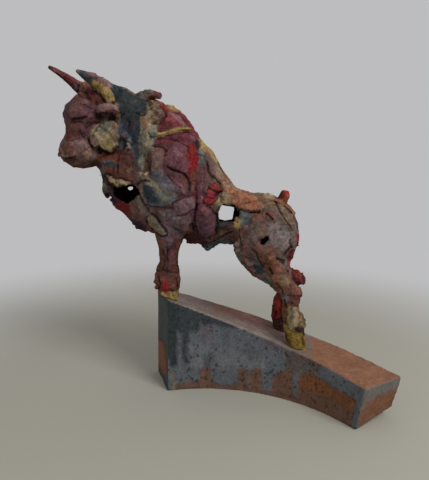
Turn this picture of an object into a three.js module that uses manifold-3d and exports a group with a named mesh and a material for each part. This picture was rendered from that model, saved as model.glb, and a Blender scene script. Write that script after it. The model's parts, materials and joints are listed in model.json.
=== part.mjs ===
// A stoneware bull on a curved ramp of a plinth. Its hollow body and head are a quilt of torn clay slabs,
// each its own piece, pressed together edge to edge. Legs, hooves, horns, ears, coils and lumps are luted
// on, and the plinth is a slab-built box with a vent for the kiln.
// Millimetres, +Z up. X runs from the muzzle (-) to the tail (+), and -Y is the near flank.
// The origin lies on the underside of the plinth, below the middle of the body.
import * as THREE from "three";
import { mergeVertices } from "three/addons/utils/BufferGeometryUtils.js";
import Module from "manifold-3d";

const wasm = await Module();
wasm.setup();

// Clay
const SLAB = 7; // thickness of the slabs that make the body
const SEAM = 0.5; // gap between two slabs pressed edge to edge
const GAP = 0.3; // gap between a luted piece and what carries it
const RELIEF = 0.8; // thumbed unevenness of the skin
const SMOOTHING = 3; // how many times the seams are drawn smooth before they stray
const WANDER = 0.16; // how far a torn seam strays, in squares of the plan
const FULLNESS = 0.9; // 1 is an ellipse, less is squarer
const CURVE_TENSION = 0.5;
const SHARPEST = 0.3; // keeps the seam's gap in bounds at a slab's sharp corners
const SAME_POINT = 1e-4; // corners nearer than this are one
const NORMAL_STEP = 0.004; // how far apart a normal is felt for, as a share of the loft
const END_NORMALS = 8; // how many normals are taken round a closed end

// Plinth, an arc in plan that falls from its tall end to its low end
const PLINTH_CENTRE_X = 3.9;
const PLINTH_RADIUS = 191.3;
const PLINTH_NEAR_EDGE = -16.9; // where the front wall passes the middle of the body
const PLINTH_CENTRE_Y = PLINTH_NEAR_EDGE - PLINTH_RADIUS;
const PLINTH_WIDTH = 59.1;
const PLINTH_TALL_ANGLE = 112.5;
const PLINTH_LOW_ANGLE = 37.3;
const PLINTH_TALL_HEIGHT = 120;
const PLINTH_LOW_HEIGHT = 52;
const PLINTH_SAG = 12.4; // how far the top hangs below the straight slope
const PLINTH_TOP = 9; // thickness of the top slab
const PLINTH_WALL = 8;
const PLINTH_BASE = 8;
const TALL_SKEW = 3; // the tall end's outer corner stands out by this much
const END_LEAN = 8; // the low end's foot is set in by this much
const FOOT_LIFT = 12; // the outer corner of the low end's foot is lifted by this much
const FOOT_LIFT_FROM = 0.9; // where along the arc the lean and the lift begin
const VENT_RADIUS = 6;
const VENT_ALONG = 0.62;

// Head: where it joins the neck, and how far it is turned to the near side, in degrees
const HEAD_X = -148;
const HEAD_Y = 0;
const HEAD_TURN = 38;

// A place ahead of the body's middle, as a share of the way to the head's joint
const fore = (share) => HEAD_X * share;

// Where the hooves stand, how far along the hind legs' hocks lie, and how high the hooves are
const FORE_NEAR = { x: fore(0.4797), y: -14 };
const FORE_FAR = { x: fore(0.5135), y: 15 };
const HIND_NEAR = { x: 88, y: -21, hock: 77.5 };
const HIND_FAR = { x: 72, y: 17, hock: 78 };
const FORE_HOOF_HEIGHT = 11;
const HIND_HOOF_HEIGHT = 30;

// Trunk and neck, from the buttock to the poll, as cuts in the side view. Each has its top point, its
// bottom point, half its width, and how far its middle lies off the body's mid-plane.
// Heights are above the soles of the forefeet.
const TRUNK = [
  { top: [88, 79], bottom: [88, 79], half: 0, off: 0 },
  { top: [86.5, 94], bottom: [84, 66], half: 14, off: 0 },
  { top: [82, 106], bottom: [75, 58], half: 24, off: 0 },
  { top: [70, 121], bottom: [60, 57], half: 30, off: 0 },
  { top: [50, 129], bottom: [38, 62], half: 33, off: 0 },
  { top: [28, 129], bottom: [16, 67], half: 33, off: 0 },
  { top: [6, 137], bottom: [fore(0.027), 69], half: 32, off: 0 },
  { top: [fore(0.0608), 153], bottom: [fore(0.1486), 65], half: 36, off: 0 },
  { top: [fore(0.1351), 175], bottom: [fore(0.2703), 67], half: 42, off: 0 },
  { top: [fore(0.2432), 191], bottom: [fore(0.3919), 74], half: 46, off: 0 },
  { top: [fore(0.3378), 209], bottom: [fore(0.527), 78], half: 48, off: 0 },
  { top: [fore(0.4324), 226], bottom: [fore(0.652), 80.5], half: 47, off: 0 },
  { top: [fore(0.5541), 234], bottom: [fore(0.7736), 89], half: 44, off: 0 },
  { top: [fore(0.6757), 239], bottom: [fore(0.8818), 103.5], half: 40, off: 0 },
  { top: [fore(0.7838), 243], bottom: [fore(0.9628), 118.5], half: 36, off: 0 },
  { top: [fore(0.8919), 249], bottom: [fore(1.0405), 129], half: 33, off: -1 },
  { top: [fore(1), 252], bottom: [fore(1.0676), 144], half: 30, off: -2 },
  { top: [fore(1.0946), 248], bottom: [fore(1.1081), 167], half: 24, off: -3 },
];

// Head, from under the jaw to the crown: how far each level reaches forward and back of the joint, its
// height above the forefeet's soles, and half its width
const HEAD = [
  { front: 36, back: 34, height: 158, half: 0 },
  { front: 46, back: 22, height: 159.5, half: 11 },
  { front: 57, back: 14, height: 165, half: 20 },
  { front: 62, back: 10, height: 172, half: 24 },
  { front: 59, back: 4, height: 182, half: 25 },
  { front: 54.5, back: -4, height: 194, half: 27 },
  { front: 51.5, back: -8, height: 207, half: 30 },
  { front: 53.5, back: -10, height: 220, half: 33 },
  { front: 49.5, back: -8, height: 230, half: 33 },
  { front: 39, back: -4, height: 240, half: 31 },
  { front: 30, back: 2, height: 250, half: 26 },
  { front: 22, back: 8, height: 257, half: 16 },
  { front: 17, back: 17, height: 260, half: 0 },
];

// Thigh, from the hip to just below the hock, as level cuts: the reach in X, half the depth, and how far
// out the middle lies. Heights are above the forefeet's soles.
const THIGH = [
  { height: 121, from: 58, to: 58, half: 0, out: 28 },
  { height: 118, from: 46, to: 70, half: 8, out: 28 },
  { height: 108, from: 31, to: 79, half: 13, out: 29 },
  { height: 94, from: 19, to: 84, half: 17, out: 30 },
  { height: 80, from: 12, to: 85.5, half: 18, out: 30 },
  { height: 68, from: 10, to: 83, half: 18, out: 30 },
  { height: 57, from: 15.5, to: 79, half: 17, out: 29 },
  { height: 46, from: 23, to: 76, half: 15, out: 27 },
  { height: 35, from: 37, to: 78, half: 13, out: 25 },
  { height: 25, from: 53, to: 85, half: 12, out: 23 },
  { height: 16, from: 63, to: 92, half: 11, out: 21 },
  { height: 8, from: 66, to: 92, half: 10.5, out: 20 },
];
const HOCK_CUT = 10; // which of these, counted from 0, is where the shell ends on the cannon

// A foreleg from its hoof (0) to inside the shoulder (1): how far its middle lies from the foot's in X,
// half its length and half its width
const FORELEG = [
  { at: 0, x: -1, long: 13.5, wide: 10 },
  { at: 0.06, x: -1.5, long: 15.5, wide: 11.5 },
  { at: 0.16, x: -2, long: 14.5, wide: 11 },
  { at: 0.27, x: -1, long: 12, wide: 9.5 },
  { at: 0.39, x: -0.5, long: 10.5, wide: 9 },
  { at: 0.52, x: 0, long: 11.2, wide: 9.5 },
  { at: 0.66, x: 1, long: 14, wide: 11 },
  { at: 0.82, x: 3, long: 19, wide: 14 },
  { at: 1, x: 3, long: 22, wide: 16 },
];
const FORELEG_TOP = 95; // height of its end inside the shoulder, above the forefeet's soles
const FORELEG_SPREAD = 8; // how much further out its upper end lies

// A hind cannon from its hoof (0) to the hock (1): how far its middle lies in X from the line between them,
// half its length and half its width
const CANNON = [
  { at: 0, x: -4.5, long: 13, wide: 10 },
  { at: 0.22, x: -3.2, long: 12.5, wide: 10 },
  { at: 0.42, x: -4.1, long: 9.7, wide: 9 },
  { at: 0.65, x: -1.8, long: 9.9, wide: 9 },
  { at: 0.87, x: -0.2, long: 12.4, wide: 10 },
  { at: 1, x: 0, long: 14.6, wide: 10.8 },
];

// Hooves from the sole (0) to the coronet (1), from the foot's middle in the same way
const FORE_HOOF = [
  { at: 0, x: -2.5, long: 13.8, wide: 10.2 },
  { at: 0.35, x: -2, long: 13.5, wide: 10 },
  { at: 0.75, x: -1, long: 12.4, wide: 9.2 },
  { at: 1, x: -1, long: 11.6, wide: 8.6 },
];
const HIND_HOOF = [
  { at: 0, x: 0.5, long: 10, wide: 9.5 },
  { at: 0.35, x: -1.5, long: 11.8, wide: 10 },
  { at: 0.75, x: -4, long: 13, wide: 10.4 },
  { at: 1, x: -4.5, long: 12.2, wide: 9.6 },
];
const CLEFT = 2.4; // half the width of the split in a hoof at its toe
const CLEFT_REACH = 0.2; // how far forward of the foot's middle the split ends, as a share of half the sole

// Plans of the quilts: one row of letters for each step along the loft, one letter for each step round it.
// A letter names the slab that covers that square, and a dot leaves it open.
// The trunk's rows run from buttock to poll; its letters go from the spine down the near side and up the far.
const TRUNK_PLAN = [
  "BBBBBBBBBBBBBBBBBBBBBBBB",
  "BBBBBBBBBBBBBBBBBBBBBBBB",
  "BBBBBBBBBBBBBBBBBBBBBBBB",
  "SSRRRRRRRRGGGGrrrrrrrrSS",
  "SSRRRRRRRRGGGGrrrrrrrrSS",
  "SSRRRRRRRRGGGGrrrrrrrrSS",
  "SSRRRRRRRRGGGGrrrrrrrrSS",
  "SSSRRRRRRRGGGGrrrrrrrSSS",
  "SSSSFFFFFLLLLLLfffffSSSS",
  "SSSSFFFFFLLLLLLfffffSSSS",
  "KKKVVVOOOLLLLLLvvvvvhhhh",
  "KKKVVVOOOLLLLLLvvvvvhhhh",
  "KKVVVVOOOLLLLLLvvvvvhhhh",
  "HHJJAAAUULLLLLLuuuaaahhh",
  "HHJJAAAUULLLLLLuuuaaahhh",
  "HHJJAAAUUPPPPPPuuuaaahhh",
  "HHJJAAAUUPPPPPPuuuaaahhh",
  "HHHJJNNNUPPPPPPuuuaaahhh",
  "CCCCCNNNUPPPPPPuuucccccC",
  "MMMCCWWWXXXXXXXXwwwmmmmM",
  "MMMMMMWWXXXXXXXXwwwmmmmM",
  "MMMMMWWWXXXXXXXXwwwmmmmM",
  "MMMMMWWWXXXXXXXXwwwmmmmM",
  "MMMMMWWWXXXXXXXXwwwmmmmM",
  "MMMMMWWWXXXXXXXXwwwmmmmM",
];

// The head's rows run from under the jaw to the crown, and its letters from the brow round the near cheek.
const HEAD_PLAN = [
  "JJJJJJJJJJJJJJJJJJJJ",
  "JJJJJJJJJJJJJJJJJJJJ",
  "ZZZZJJJJJJJJJJJJZZZZ",
  "ZZZZJJJJJJJJJJJJZZZZ",
  "ZZZZDDDDD..dddddZZZZ",
  "YYYYDDDDD..dddddYYYY",
  "YYYYYDDDD..ddddYYYYY",
  "YYYYYYQQQ..QQQYYYYYY",
  "YYYYYQQQQQQQQQQYYYYY",
  "QQQQQQQQQQQQQQQQQQQQ",
  "QQQQQQQQQQQQQQQQQQQQ",
  "QQQQQQQQQQQQQQQQQQQQ",
];

// Slabs by letter: name, how proud of the loft the slab stands, and colour
const TRUNK_SLABS = {
  B: ["buttock_slab", 1.5, 0x6d4038],
  R: ["rump_slab_near", 0.5, 0x6e5148],
  r: ["rump_slab_far", 0.5, 0x6e5148],
  G: ["groin_slab", 0.5, 0x4c3230],
  S: ["back_strap_slab", 3.5, 0x8a5238],
  F: ["flank_slab_near", 0, 0x3f4347],
  f: ["flank_slab_far", 0, 0x3f4347],
  L: ["belly_slab", 0, 0x40282c],
  K: ["loin_slab", 2, 0x7a5547],
  V: ["rib_slab_near", 0.5, 0x5f3a40],
  v: ["rib_slab_far", 1, 0x5f3a40],
  O: ["oval_rib_slab", 2.5, 0x4e2c38],
  H: ["hump_slab_near", 3, 0x6a2c34],
  h: ["hump_slab_far", 2.5, 0x6a2c34],
  J: ["hump_edge_slab", 2.5, 0x5b2833],
  A: ["blade_slab_near", 3, 0x6e3c48],
  a: ["blade_slab_far", 2.5, 0x6e3c48],
  U: ["arm_slab_near", 2, 0x625055],
  u: ["arm_slab_far", 2, 0x625055],
  P: ["brisket_slab", 1, 0x4f3a38],
  N: ["shoulder_edge_slab", 1, 0x6a5254],
  C: ["neck_slab_near", 1.5, 0x9c8a68],
  c: ["neck_slab_far", 1.5, 0x8a7458],
  M: ["mane_slab_near", 4, 0x363d44],
  m: ["mane_slab_far", 3, 0x363d44],
  W: ["throat_slab_near", 1, 0x6b423c],
  w: ["throat_slab_far", 1, 0x6b423c],
  X: ["chest_slab", 0, 0x2c1c28],
};
const HEAD_SLABS = {
  J: ["jaw_slab", 0, 0x5f4440],
  Z: ["muzzle_slab", 1.5, 0x6c4c48],
  Y: ["face_slab", 1, 0x663e44],
  Q: ["poll_slab", 0.5, 0x5c342e],
  D: ["cheek_slab_near", 3, 0x9a8c68],
  d: ["cheek_slab_far", 3, 0x7a5a50],
};
const THIGH_RAISE = 1;
const THIGH_ROWS = 12;
const THIGH_COLUMNS = 16;

// Colours of the solid pieces, and how rough bare and glazed clay are
const SLATE = 0x454b50;
const TERRACOTTA = 0x8a4e32;
const YELLOW_PAINT = 0xa07c3c;
const RED_PAINT = 0xa02a1c;
const WASHED_CLAY = 0x6f5348;
const FORELEG_CLAY = 0x6b3f36;
const THIGH_CLAY = 0x74523f;
const CANNON_CLAY = 0x70442f;
const FAR_CANNON_CLAY = 0x7c2622;
const NEAR_HORN_SLIP = 0x3a3f46;
const FAR_HORN_SLIP = 0x6e2c30;
const EAR_SLIP = 0x8a5a54;
const CREST_SLIP = 0x4a4238;
const BARE = 0.8;
const GLAZED = 0.4;

// Facets of the solid lofts
const FORELEG_ROWS = 12;
const CANNON_ROWS = 9;
const HOOF_ROWS = 4;
const LEG_COLUMNS = 12;
const TAPER_ROWS = 10;
const TAPER_COLUMNS = 10;
const VENT_SIDES = 20;

// Horns, from root to tip: forward, outward and up in the head, then half the height and half the depth
const HORN_NEAR = [
  [1, 14, 246, 9, 10],
  [13, 26, 249, 8.5, 9],
  [28, 35, 254.5, 7, 7],
  [40, 41, 258, 4.6, 4.8],
  [51, 46.5, 261, 1.8, 1.8],
];
const HORN_FAR = [
  [17, 12, 244, 9, 9],
  [28.5, 24, 254, 8, 8],
  [40, 34, 264.5, 6, 6],
  [50, 42, 273, 4, 4],
  [59, 48.5, 279, 1.7, 1.7],
];

// Ears, the same way, and the hollow scooped from each
const EAR = [
  [27, 33, 223, 5, 5],
  [21, 38, 225.5, 7, 7],
  [13, 42, 225.5, 8, 8],
  [6, 44, 222, 7, 7],
  [1, 44, 217, 4, 4],
];
const EAR_CUP = [
  [24, 42, 217, 2.5, 3],
  [17, 46, 218.5, 4, 6],
  [9, 49, 217.5, 4.5, 7],
  [3, 50, 214, 3, 4],
];

// Lumps and coils luted on: X, Y and height, or forward, outward and up in the head, then the halves
const CREST_KNOB = [
  [fore(0.7365), -6, 230, 7, 9],
  [fore(0.6959), -7, 240, 8, 10],
  [fore(0.6284), -8, 245, 5, 9],
  [fore(0.5608), -8, 243, 3, 6],
];
const TAIL_KNOB = [
  [60, -3, 112, 5, 5],
  [64, -4, 122, 6, 6],
  [67, -5, 130, 6.5, 6.5],
  [68, -5, 136, 4, 4],
];
const HOCK_KNOB = [
  [70, -20, 44, 5, 6],
  [80, -21, 37, 8, 8],
  [88, -21, 31, 7, 7],
  [94, -21, 27, 3, 4],
];
const HUMP_COIL = [
  [fore(0.5878), -44, 195, 3.4, 4],
  [fore(0.5338), -42, 197, 2.6, 4],
  [fore(0.473), -39, 199, 2, 4],
  [fore(0.3716), -32, 204, 1.8, 4],
  [fore(0.2973), -22, 205, 1.5, 4],
];
const MANE_STRAP = [
  [28, 29, 256, 3, 4],
  [20, 32, 249, 4, 5],
  [14, 35, 241.5, 5, 5],
  [10, 36, 233, 4, 4],
];

const { lerp, degToRad, clamp } = THREE.MathUtils;
const V = (x, y, z) => new THREE.Vector3(x, y, z);
const object = new THREE.Group();

// Solids

// A solid of points and triangles, turned so that its faces point out
function solid(points, triangles) {
  const faces = triangles.filter(([a, b, c]) => a !== b && b !== c && c !== a);
  const wedge = ([a, b, c]) => points[a].dot(V(0, 0, 0).crossVectors(points[b], points[c]));
  const volume = faces.reduce((sum, face) => sum + wedge(face), 0);
  const order = volume < 0 ? (face) => [...face].reverse() : (face) => face;
  return new wasm.Manifold(
    new wasm.Mesh({
      numProp: 3,
      vertProperties: new Float32Array(points.flatMap((p) => p.toArray())),
      triVerts: new Uint32Array(faces.flatMap(order)),
    }),
  );
}

// The same of a closed three.js geometry
function solidOf(geometry) {
  const bare = geometry.clone();
  bare.deleteAttribute("normal");
  bare.deleteAttribute("uv");
  const merged = mergeVertices(bare, SAME_POINT);
  return new wasm.Manifold(
    new wasm.Mesh({
      numProp: 3,
      vertProperties: merged.attributes.position.array,
      triVerts: new Uint32Array(merged.index.array),
    }),
  );
}

// A named mesh of the largest body of a solid: the crumbs that a cut leaves at a torn edge are dropped.
function add(name, manifold, color, roughness = BARE) {
  const [largest] = manifold.decompose().sort((a, b) => b.volume() - a.volume());
  const { vertProperties, triVerts } = largest.getMesh();
  const geometry = new THREE.BufferGeometry();
  geometry.setAttribute("position", new THREE.BufferAttribute(vertProperties, 3));
  geometry.setIndex(new THREE.BufferAttribute(triVerts, 1));
  geometry.computeVertexNormals();
  const mesh = new THREE.Mesh(geometry, new THREE.MeshStandardMaterial({ color, roughness, metalness: 0 }));
  mesh.name = name;
  object.add(mesh);
}

// A four-sided facet as two triangles
const twoHalves = (a, b, c, d) => [[a, b, c], [a, c, d]];

// The same, divided along whichever diagonal leaves both halves facing the facet's own way
function fairHalves(points, a, b, c, d) {
  const across = (i, j) => points[j].clone().sub(points[i]);
  const facing = across(a, c).cross(across(b, d)).normalize();
  const turned = ([i, j, k]) => across(i, j).cross(across(i, k)).normalize().dot(facing);
  const worst = (halves) => Math.min(...halves.map(turned));
  const [one, other] = [twoHalves(a, b, c, d), twoHalves(b, c, d, a)];
  return worst(other) > worst(one) ? other : one;
}

// A skin through stations that each have a centre and two half axes
class Loft {
  constructor(stations) {
    const through = (key) => {
      const places = stations.map((station) => station[key]);
      return new THREE.CatmullRomCurve3(places, false, "catmullrom", CURVE_TENSION);
    };
    this.centre = through("centre");
    this.first = through("first");
    this.second = through("second");
  }

  // u runs from the first station to the last, and v once round, from the first half axis by the second
  point(u, v) {
    const angle = 2 * Math.PI * v;
    const fuller = (x) => Math.sign(x) * Math.abs(x) ** FULLNESS;
    return this.centre
      .getPoint(u)
      .addScaledVector(this.first.getPoint(u), fuller(Math.cos(angle)))
      .addScaledVector(this.second.getPoint(u), fuller(Math.sin(angle)));
  }

  normal(u, v) {
    const at = clamp(u, 2 * NORMAL_STEP, 1 - 2 * NORMAL_STEP);
    const along = this.point(at + NORMAL_STEP, v).sub(this.point(at - NORMAL_STEP, v));
    const round = this.point(at, v + NORMAL_STEP).sub(this.point(at, v - NORMAL_STEP));
    const normal = along.cross(round).normalize();
    const outward = this.point(at, v).sub(this.centre.getPoint(at));
    return normal.dot(outward) < 0 ? normal.negate() : normal;
  }

  // The normal at a closed end is the mean of those round it.
  endNormal(u) {
    const sum = V(0, 0, 0);
    for (let i = 0; i < END_NORMALS; i++) sum.add(this.normal(u, i / END_NORMALS));
    return sum.normalize();
  }

  // A closed solid of the loft, with both ends capped
  solid(rows, columns) {
    const points = [this.centre.getPoint(0), this.centre.getPoint(1)];
    const triangles = [];
    const at = (r, c) => 2 + r * columns + (c % columns);
    for (let r = 0; r <= rows; r++) {
      for (let c = 0; c < columns; c++) points.push(this.point(r / rows, c / columns));
    }
    for (let c = 0; c < columns; c++) {
      triangles.push([0, at(0, c), at(0, c + 1)], [1, at(rows, c + 1), at(rows, c)]);
      for (let r = 0; r < rows; r++) {
        triangles.push(...twoHalves(at(r, c), at(r + 1, c), at(r + 1, c + 1), at(r, c + 1)));
      }
    }
    return solid(points, triangles);
  }
}

// The unevenness of hand-pressed clay at a place on the skin
function thumbed(p) {
  const broad = Math.sin(p.x / 8 + p.z / 13) * Math.cos(p.z / 7 - p.y / 11);
  const fine = Math.sin(p.y / 5 + p.x / 6);
  return RELIEF * (broad + fine / 2);
}

// A loft whose skin is torn into slabs by a plan of letters
class Quilt {
  constructor(loft, plan, raise, closedEnd) {
    this.loft = loft;
    this.plan = plan;
    this.raise = raise;
    this.closedEnd = closedEnd;
    this.rows = plan.length;
    this.columns = plan[0].length;
    this.tear();
  }

  column(c) {
    return (c + this.columns) % this.columns;
  }

  letter(r, c) {
    return r < 0 || r >= this.rows ? "" : this.plan[r][this.column(c)];
  }

  closed(r) {
    return r === 0 || (this.closedEnd && r === this.rows);
  }

  // The four edges that meet at a corner: where each leads, and the squares on its two sides
  edges(r, c) {
    return [
      [[r - 1, c], [r - 1, c - 1], [r - 1, c]],
      [[r + 1, c], [r, c - 1], [r, c]],
      [[r, c - 1], [r - 1, c - 1], [r, c - 1]],
      [[r, c + 1], [r - 1, c], [r, c]],
    ];
  }

  // The corners next to this one along a seam between two slabs
  seamNeighbours(r, c) {
    return this.edges(r, c)
      .filter(([, a, b]) => this.letter(...a) !== this.letter(...b))
      .map(([end]) => end);
  }

  // Seams are drawn smooth across the plan's squares and then stray a little, as torn edges do.
  tear() {
    const still = () => Array.from({ length: this.columns }, () => [0, 0]);
    this.stray = Array.from({ length: this.rows + 1 }, still);
    for (let pass = 0; pass < SMOOTHING; pass++) {
      const relaxed = this.stray.map((row) => row.map((s) => [...s]));
      for (let r = 1; r < this.rows; r++) {
        for (let c = 0; c < this.columns; c++) {
          const next = this.seamNeighbours(r, c);
          if (next.length < 2) continue;
          const mean = [0, 0];
          for (const [nr, nc] of next) {
            const [sr, sc] = this.stray[nr][this.column(nc)];
            mean[0] += (nr + sr - r) / next.length;
            mean[1] += (nc + sc - c) / next.length;
          }
          relaxed[r][c] = this.stray[r][c].map((s, i) => lerp(s, mean[i], 0.5));
        }
      }
      this.stray = relaxed;
    }
    for (let r = 1; r < this.rows; r++) {
      for (let c = 0; c < this.columns; c++) {
        if (this.seamNeighbours(r, c).length < 2) continue;
        this.stray[r][c][0] += WANDER * Math.sin(2.1 * r + 3.7 * c);
        this.stray[r][c][1] += WANDER * Math.cos(3.3 * r - 1.9 * c);
      }
    }
  }

  // A place on the loft in squares of the plan, and its normal
  skin(r, c) {
    const u = clamp(r / this.rows, 0, 1);
    return { point: this.loft.point(u, c / this.columns), normal: this.loft.normal(u, c / this.columns) };
  }

  corner(r, c) {
    const [sr, sc] = this.stray[r][this.column(c)];
    const { point, normal } = this.skin(r + sr, this.column(c) + sc);
    if (this.closed(r)) normal.copy(this.loft.endNormal(r / this.rows));
    return { point, normal, bump: thumbed(point) };
  }

  middle(r, c) {
    const corners = [[r, c], [r + 1, c], [r, c + 1], [r + 1, c + 1]];
    const add = (sum, corner) => sum.addScaledVector(this.corner(...corner).point, 1 / corners.length);
    return corners.reduce(add, V(0, 0, 0));
  }

  // How far a corner of a slab is drawn in, square to both edges of the slab that meet there
  inset(letter, r, c, point) {
    const own = (square) => this.letter(...square) === letter;
    const inward = this.edges(r, c)
      .filter(([, a, b]) => own(a) !== own(b))
      .map(([end, a, b]) => {
        const along = this.corner(...end).point.sub(point).normalize();
        const side = this.middle(...(own(a) ? a : b)).sub(point);
        return side.addScaledVector(along, -side.dot(along)).normalize();
      });
    if (inward.length !== 2) return V(0, 0, 0);
    const [p, q] = inward;
    return p.clone().add(q).multiplyScalar(SEAM / 2 / Math.max(1 + p.dot(q), SHARPEST));
  }

  // One slab: its outer skin, its inner skin and the torn edge between them
  slab(letter) {
    const points = [];
    const triangles = [];
    const known = new Map();
    const outer = (r, c) => {
      const key = this.closed(r) ? `${r}` : `${r} ${this.column(c)}`;
      if (!known.has(key)) {
        const { point, normal, bump } = this.corner(r, c);
        if (!this.closed(r)) point.add(this.inset(letter, r, this.column(c), point));
        known.set(key, points.length);
        points.push(point.clone().addScaledVector(normal, this.raise[letter] + bump));
        points.push(point.clone().addScaledVector(normal, bump - SLAB));
      }
      return known.get(key);
    };
    const edge = (from, to) => {
      const [p, q] = [outer(...from), outer(...to)];
      const rank = ([r, c]) => r * this.columns + this.column(c);
      if (rank(from) < rank(to)) triangles.push([q, p, q + 1], [p, p + 1, q + 1]);
      else triangles.push([q, p, p + 1], [q, p + 1, q + 1]);
    };
    for (let r = 0; r < this.rows; r++) {
      for (let c = 0; c < this.columns; c++) {
        if (this.letter(r, c) !== letter) continue;
        const [a, b, d, e] = [outer(r, c), outer(r + 1, c), outer(r + 1, c + 1), outer(r, c + 1)];
        triangles.push(...fairHalves(points, a, b, d, e), ...fairHalves(points, a + 1, e + 1, d + 1, b + 1));
        if (this.letter(r, c - 1) !== letter) edge([r, c], [r + 1, c]);
        if (this.letter(r + 1, c) !== letter && !this.closed(r + 1)) edge([r + 1, c], [r + 1, c + 1]);
        if (this.letter(r, c + 1) !== letter) edge([r + 1, c + 1], [r, c + 1]);
        if (this.letter(r - 1, c) !== letter && !this.closed(r)) edge([r, c + 1], [r, c]);
      }
    }
    return solid(points, triangles);
  }

  // The whole form as one solid, clear of every slab by the gap, to cut what is luted on
  envelope(gap) {
    const points = [this.loft.centre.getPoint(0), this.loft.centre.getPoint(1)];
    const triangles = [];
    const at = (r, c) => 2 + r * this.columns + this.column(c);
    for (let r = 0; r <= this.rows; r++) {
      for (let c = 0; c < this.columns; c++) {
        const { point, normal, bump } = this.corner(r, c);
        const squares = this.edges(r, c).flatMap(([, a, b]) => [a, b]);
        const proud = Math.max(...squares.map((square) => this.raise[this.letter(...square)] ?? 0));
        points.push(point.addScaledVector(normal, proud + bump + gap));
      }
    }
    for (const r of [0, this.rows]) {
      if (this.closed(r)) points[r === 0 ? 0 : 1].copy(points[at(r, 0)]);
    }
    for (let c = 0; c < this.columns; c++) {
      triangles.push([0, at(0, c), at(0, c + 1)], [1, at(this.rows, c + 1), at(this.rows, c)]);
      for (let r = 0; r < this.rows; r++) {
        triangles.push(...fairHalves(points, at(r, c), at(r + 1, c), at(r + 1, c + 1), at(r, c + 1)));
      }
    }
    return solid(points, triangles);
  }
}

// Plinth

const PLINTH_MIDDLE_RADIUS = PLINTH_RADIUS + PLINTH_WIDTH / 2;
const ARC_STEPS = 24;
const BEFORE_END = 0.125; // how far before the tall end a toe may reach, as a share of the arc

function plinthTop(along) {
  const slope = lerp(PLINTH_TALL_HEIGHT, PLINTH_LOW_HEIGHT, along);
  return slope - PLINTH_SAG * 4 * along * (1 - along);
}

// How far along the arc a length in millimetres reaches
function share(length) {
  return length / (degToRad(PLINTH_TALL_ANGLE - PLINTH_LOW_ANGLE) * PLINTH_MIDDLE_RADIUS);
}

function plinthPoint(radius, along, z) {
  const endward = clamp((along - FOOT_LIFT_FROM) / (1 - FOOT_LIFT_FROM), 0, 1);
  const outward = clamp((radius - PLINTH_RADIUS) / PLINTH_WIDTH, 0, 1);
  const down = clamp(1 - z / PLINTH_LOW_HEIGHT, 0, 1);
  const skew = TALL_SKEW * outward * clamp(1 - along / BEFORE_END, 0, 1) + END_LEAN * down * endward;
  const angle = degToRad(lerp(PLINTH_TALL_ANGLE, PLINTH_LOW_ANGLE, along)) + skew / radius;
  const lift = FOOT_LIFT * endward ** 2 * outward * down;
  return V(PLINTH_CENTRE_X + radius * Math.cos(angle), PLINTH_CENTRE_Y + radius * Math.sin(angle), z + lift);
}

// A block between two radii, two places along the arc and two heights, which may vary along it
function arcBlock(inner, outer, from, to, low, high) {
  const points = [];
  const triangles = [];
  const steps = Math.max(1, Math.round(ARC_STEPS * (to - from)));
  for (let i = 0; i <= steps; i++) {
    const along = lerp(from, to, i / steps);
    points.push(plinthPoint(inner, along, low(along)), plinthPoint(outer, along, low(along)));
    points.push(plinthPoint(outer, along, high(along)), plinthPoint(inner, along, high(along)));
  }
  const at = (step, k) => 4 * step + (k % 4);
  for (let i = 0; i < steps; i++) {
    for (let k = 0; k < 4; k++) {
      triangles.push(...twoHalves(at(i, k), at(i, k + 1), at(i + 1, k + 1), at(i + 1, k)));
    }
  }
  triangles.push(...twoHalves(at(0, 3), at(0, 2), at(0, 1), at(0, 0)));
  triangles.push(...twoHalves(at(steps, 0), at(steps, 1), at(steps, 2), at(steps, 3)));
  return solid(points, triangles);
}

const OUTER_RADIUS = PLINTH_RADIUS + PLINTH_WIDTH;
const floorOfWalls = () => PLINTH_BASE + GAP;
const underTopSlab = (along) => plinthTop(along) - PLINTH_TOP - GAP;

function plinth() {
  const inside = PLINTH_RADIUS + PLINTH_WALL;
  const outside = OUTER_RADIUS - PLINTH_WALL;
  const low = 1 - share(PLINTH_WALL);
  const vent = solidOf(
    new THREE.CylinderGeometry(VENT_RADIUS, VENT_RADIUS, 4 * PLINTH_BASE, VENT_SIDES)
      .rotateX(Math.PI / 2)
      .translate(...plinthPoint(PLINTH_MIDDLE_RADIUS, VENT_ALONG, PLINTH_BASE / 2).toArray()),
  );
  const base = arcBlock(PLINTH_RADIUS, OUTER_RADIUS, 0, 1, () => 0, () => PLINTH_BASE);
  add("plinth_base", base.subtract(vent), TERRACOTTA);
  add("plinth_front_wall", arcBlock(PLINTH_RADIUS, inside, 0, 1, floorOfWalls, underTopSlab), SLATE, GLAZED);
  add("plinth_back_wall", arcBlock(outside, OUTER_RADIUS, 0, 1, floorOfWalls, underTopSlab), SLATE, GLAZED);
  const between = [inside + GAP, outside - GAP];
  const tall = share(PLINTH_WALL);
  add("plinth_tall_end", arcBlock(...between, 0, tall, floorOfWalls, underTopSlab), SLATE, GLAZED);
  add("plinth_low_end", arcBlock(...between, low, 1, floorOfWalls, underTopSlab), TERRACOTTA);
  const underside = (along) => plinthTop(along) - PLINTH_TOP;
  add("plinth_top", arcBlock(PLINTH_RADIUS, OUTER_RADIUS, 0, 1, underside, plinthTop), WASHED_CLAY);
}

// How high the plinth's top is under a foot
function soleHeight({ x, y }) {
  const angle = THREE.MathUtils.radToDeg(Math.atan2(y - PLINTH_CENTRE_Y, x - PLINTH_CENTRE_X));
  return plinthTop((PLINTH_TALL_ANGLE - angle) / (PLINTH_TALL_ANGLE - PLINTH_LOW_ANGLE));
}

// Body

const SOLES = soleHeight(FORE_NEAR); // every height of the body and the head counts from here

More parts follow.
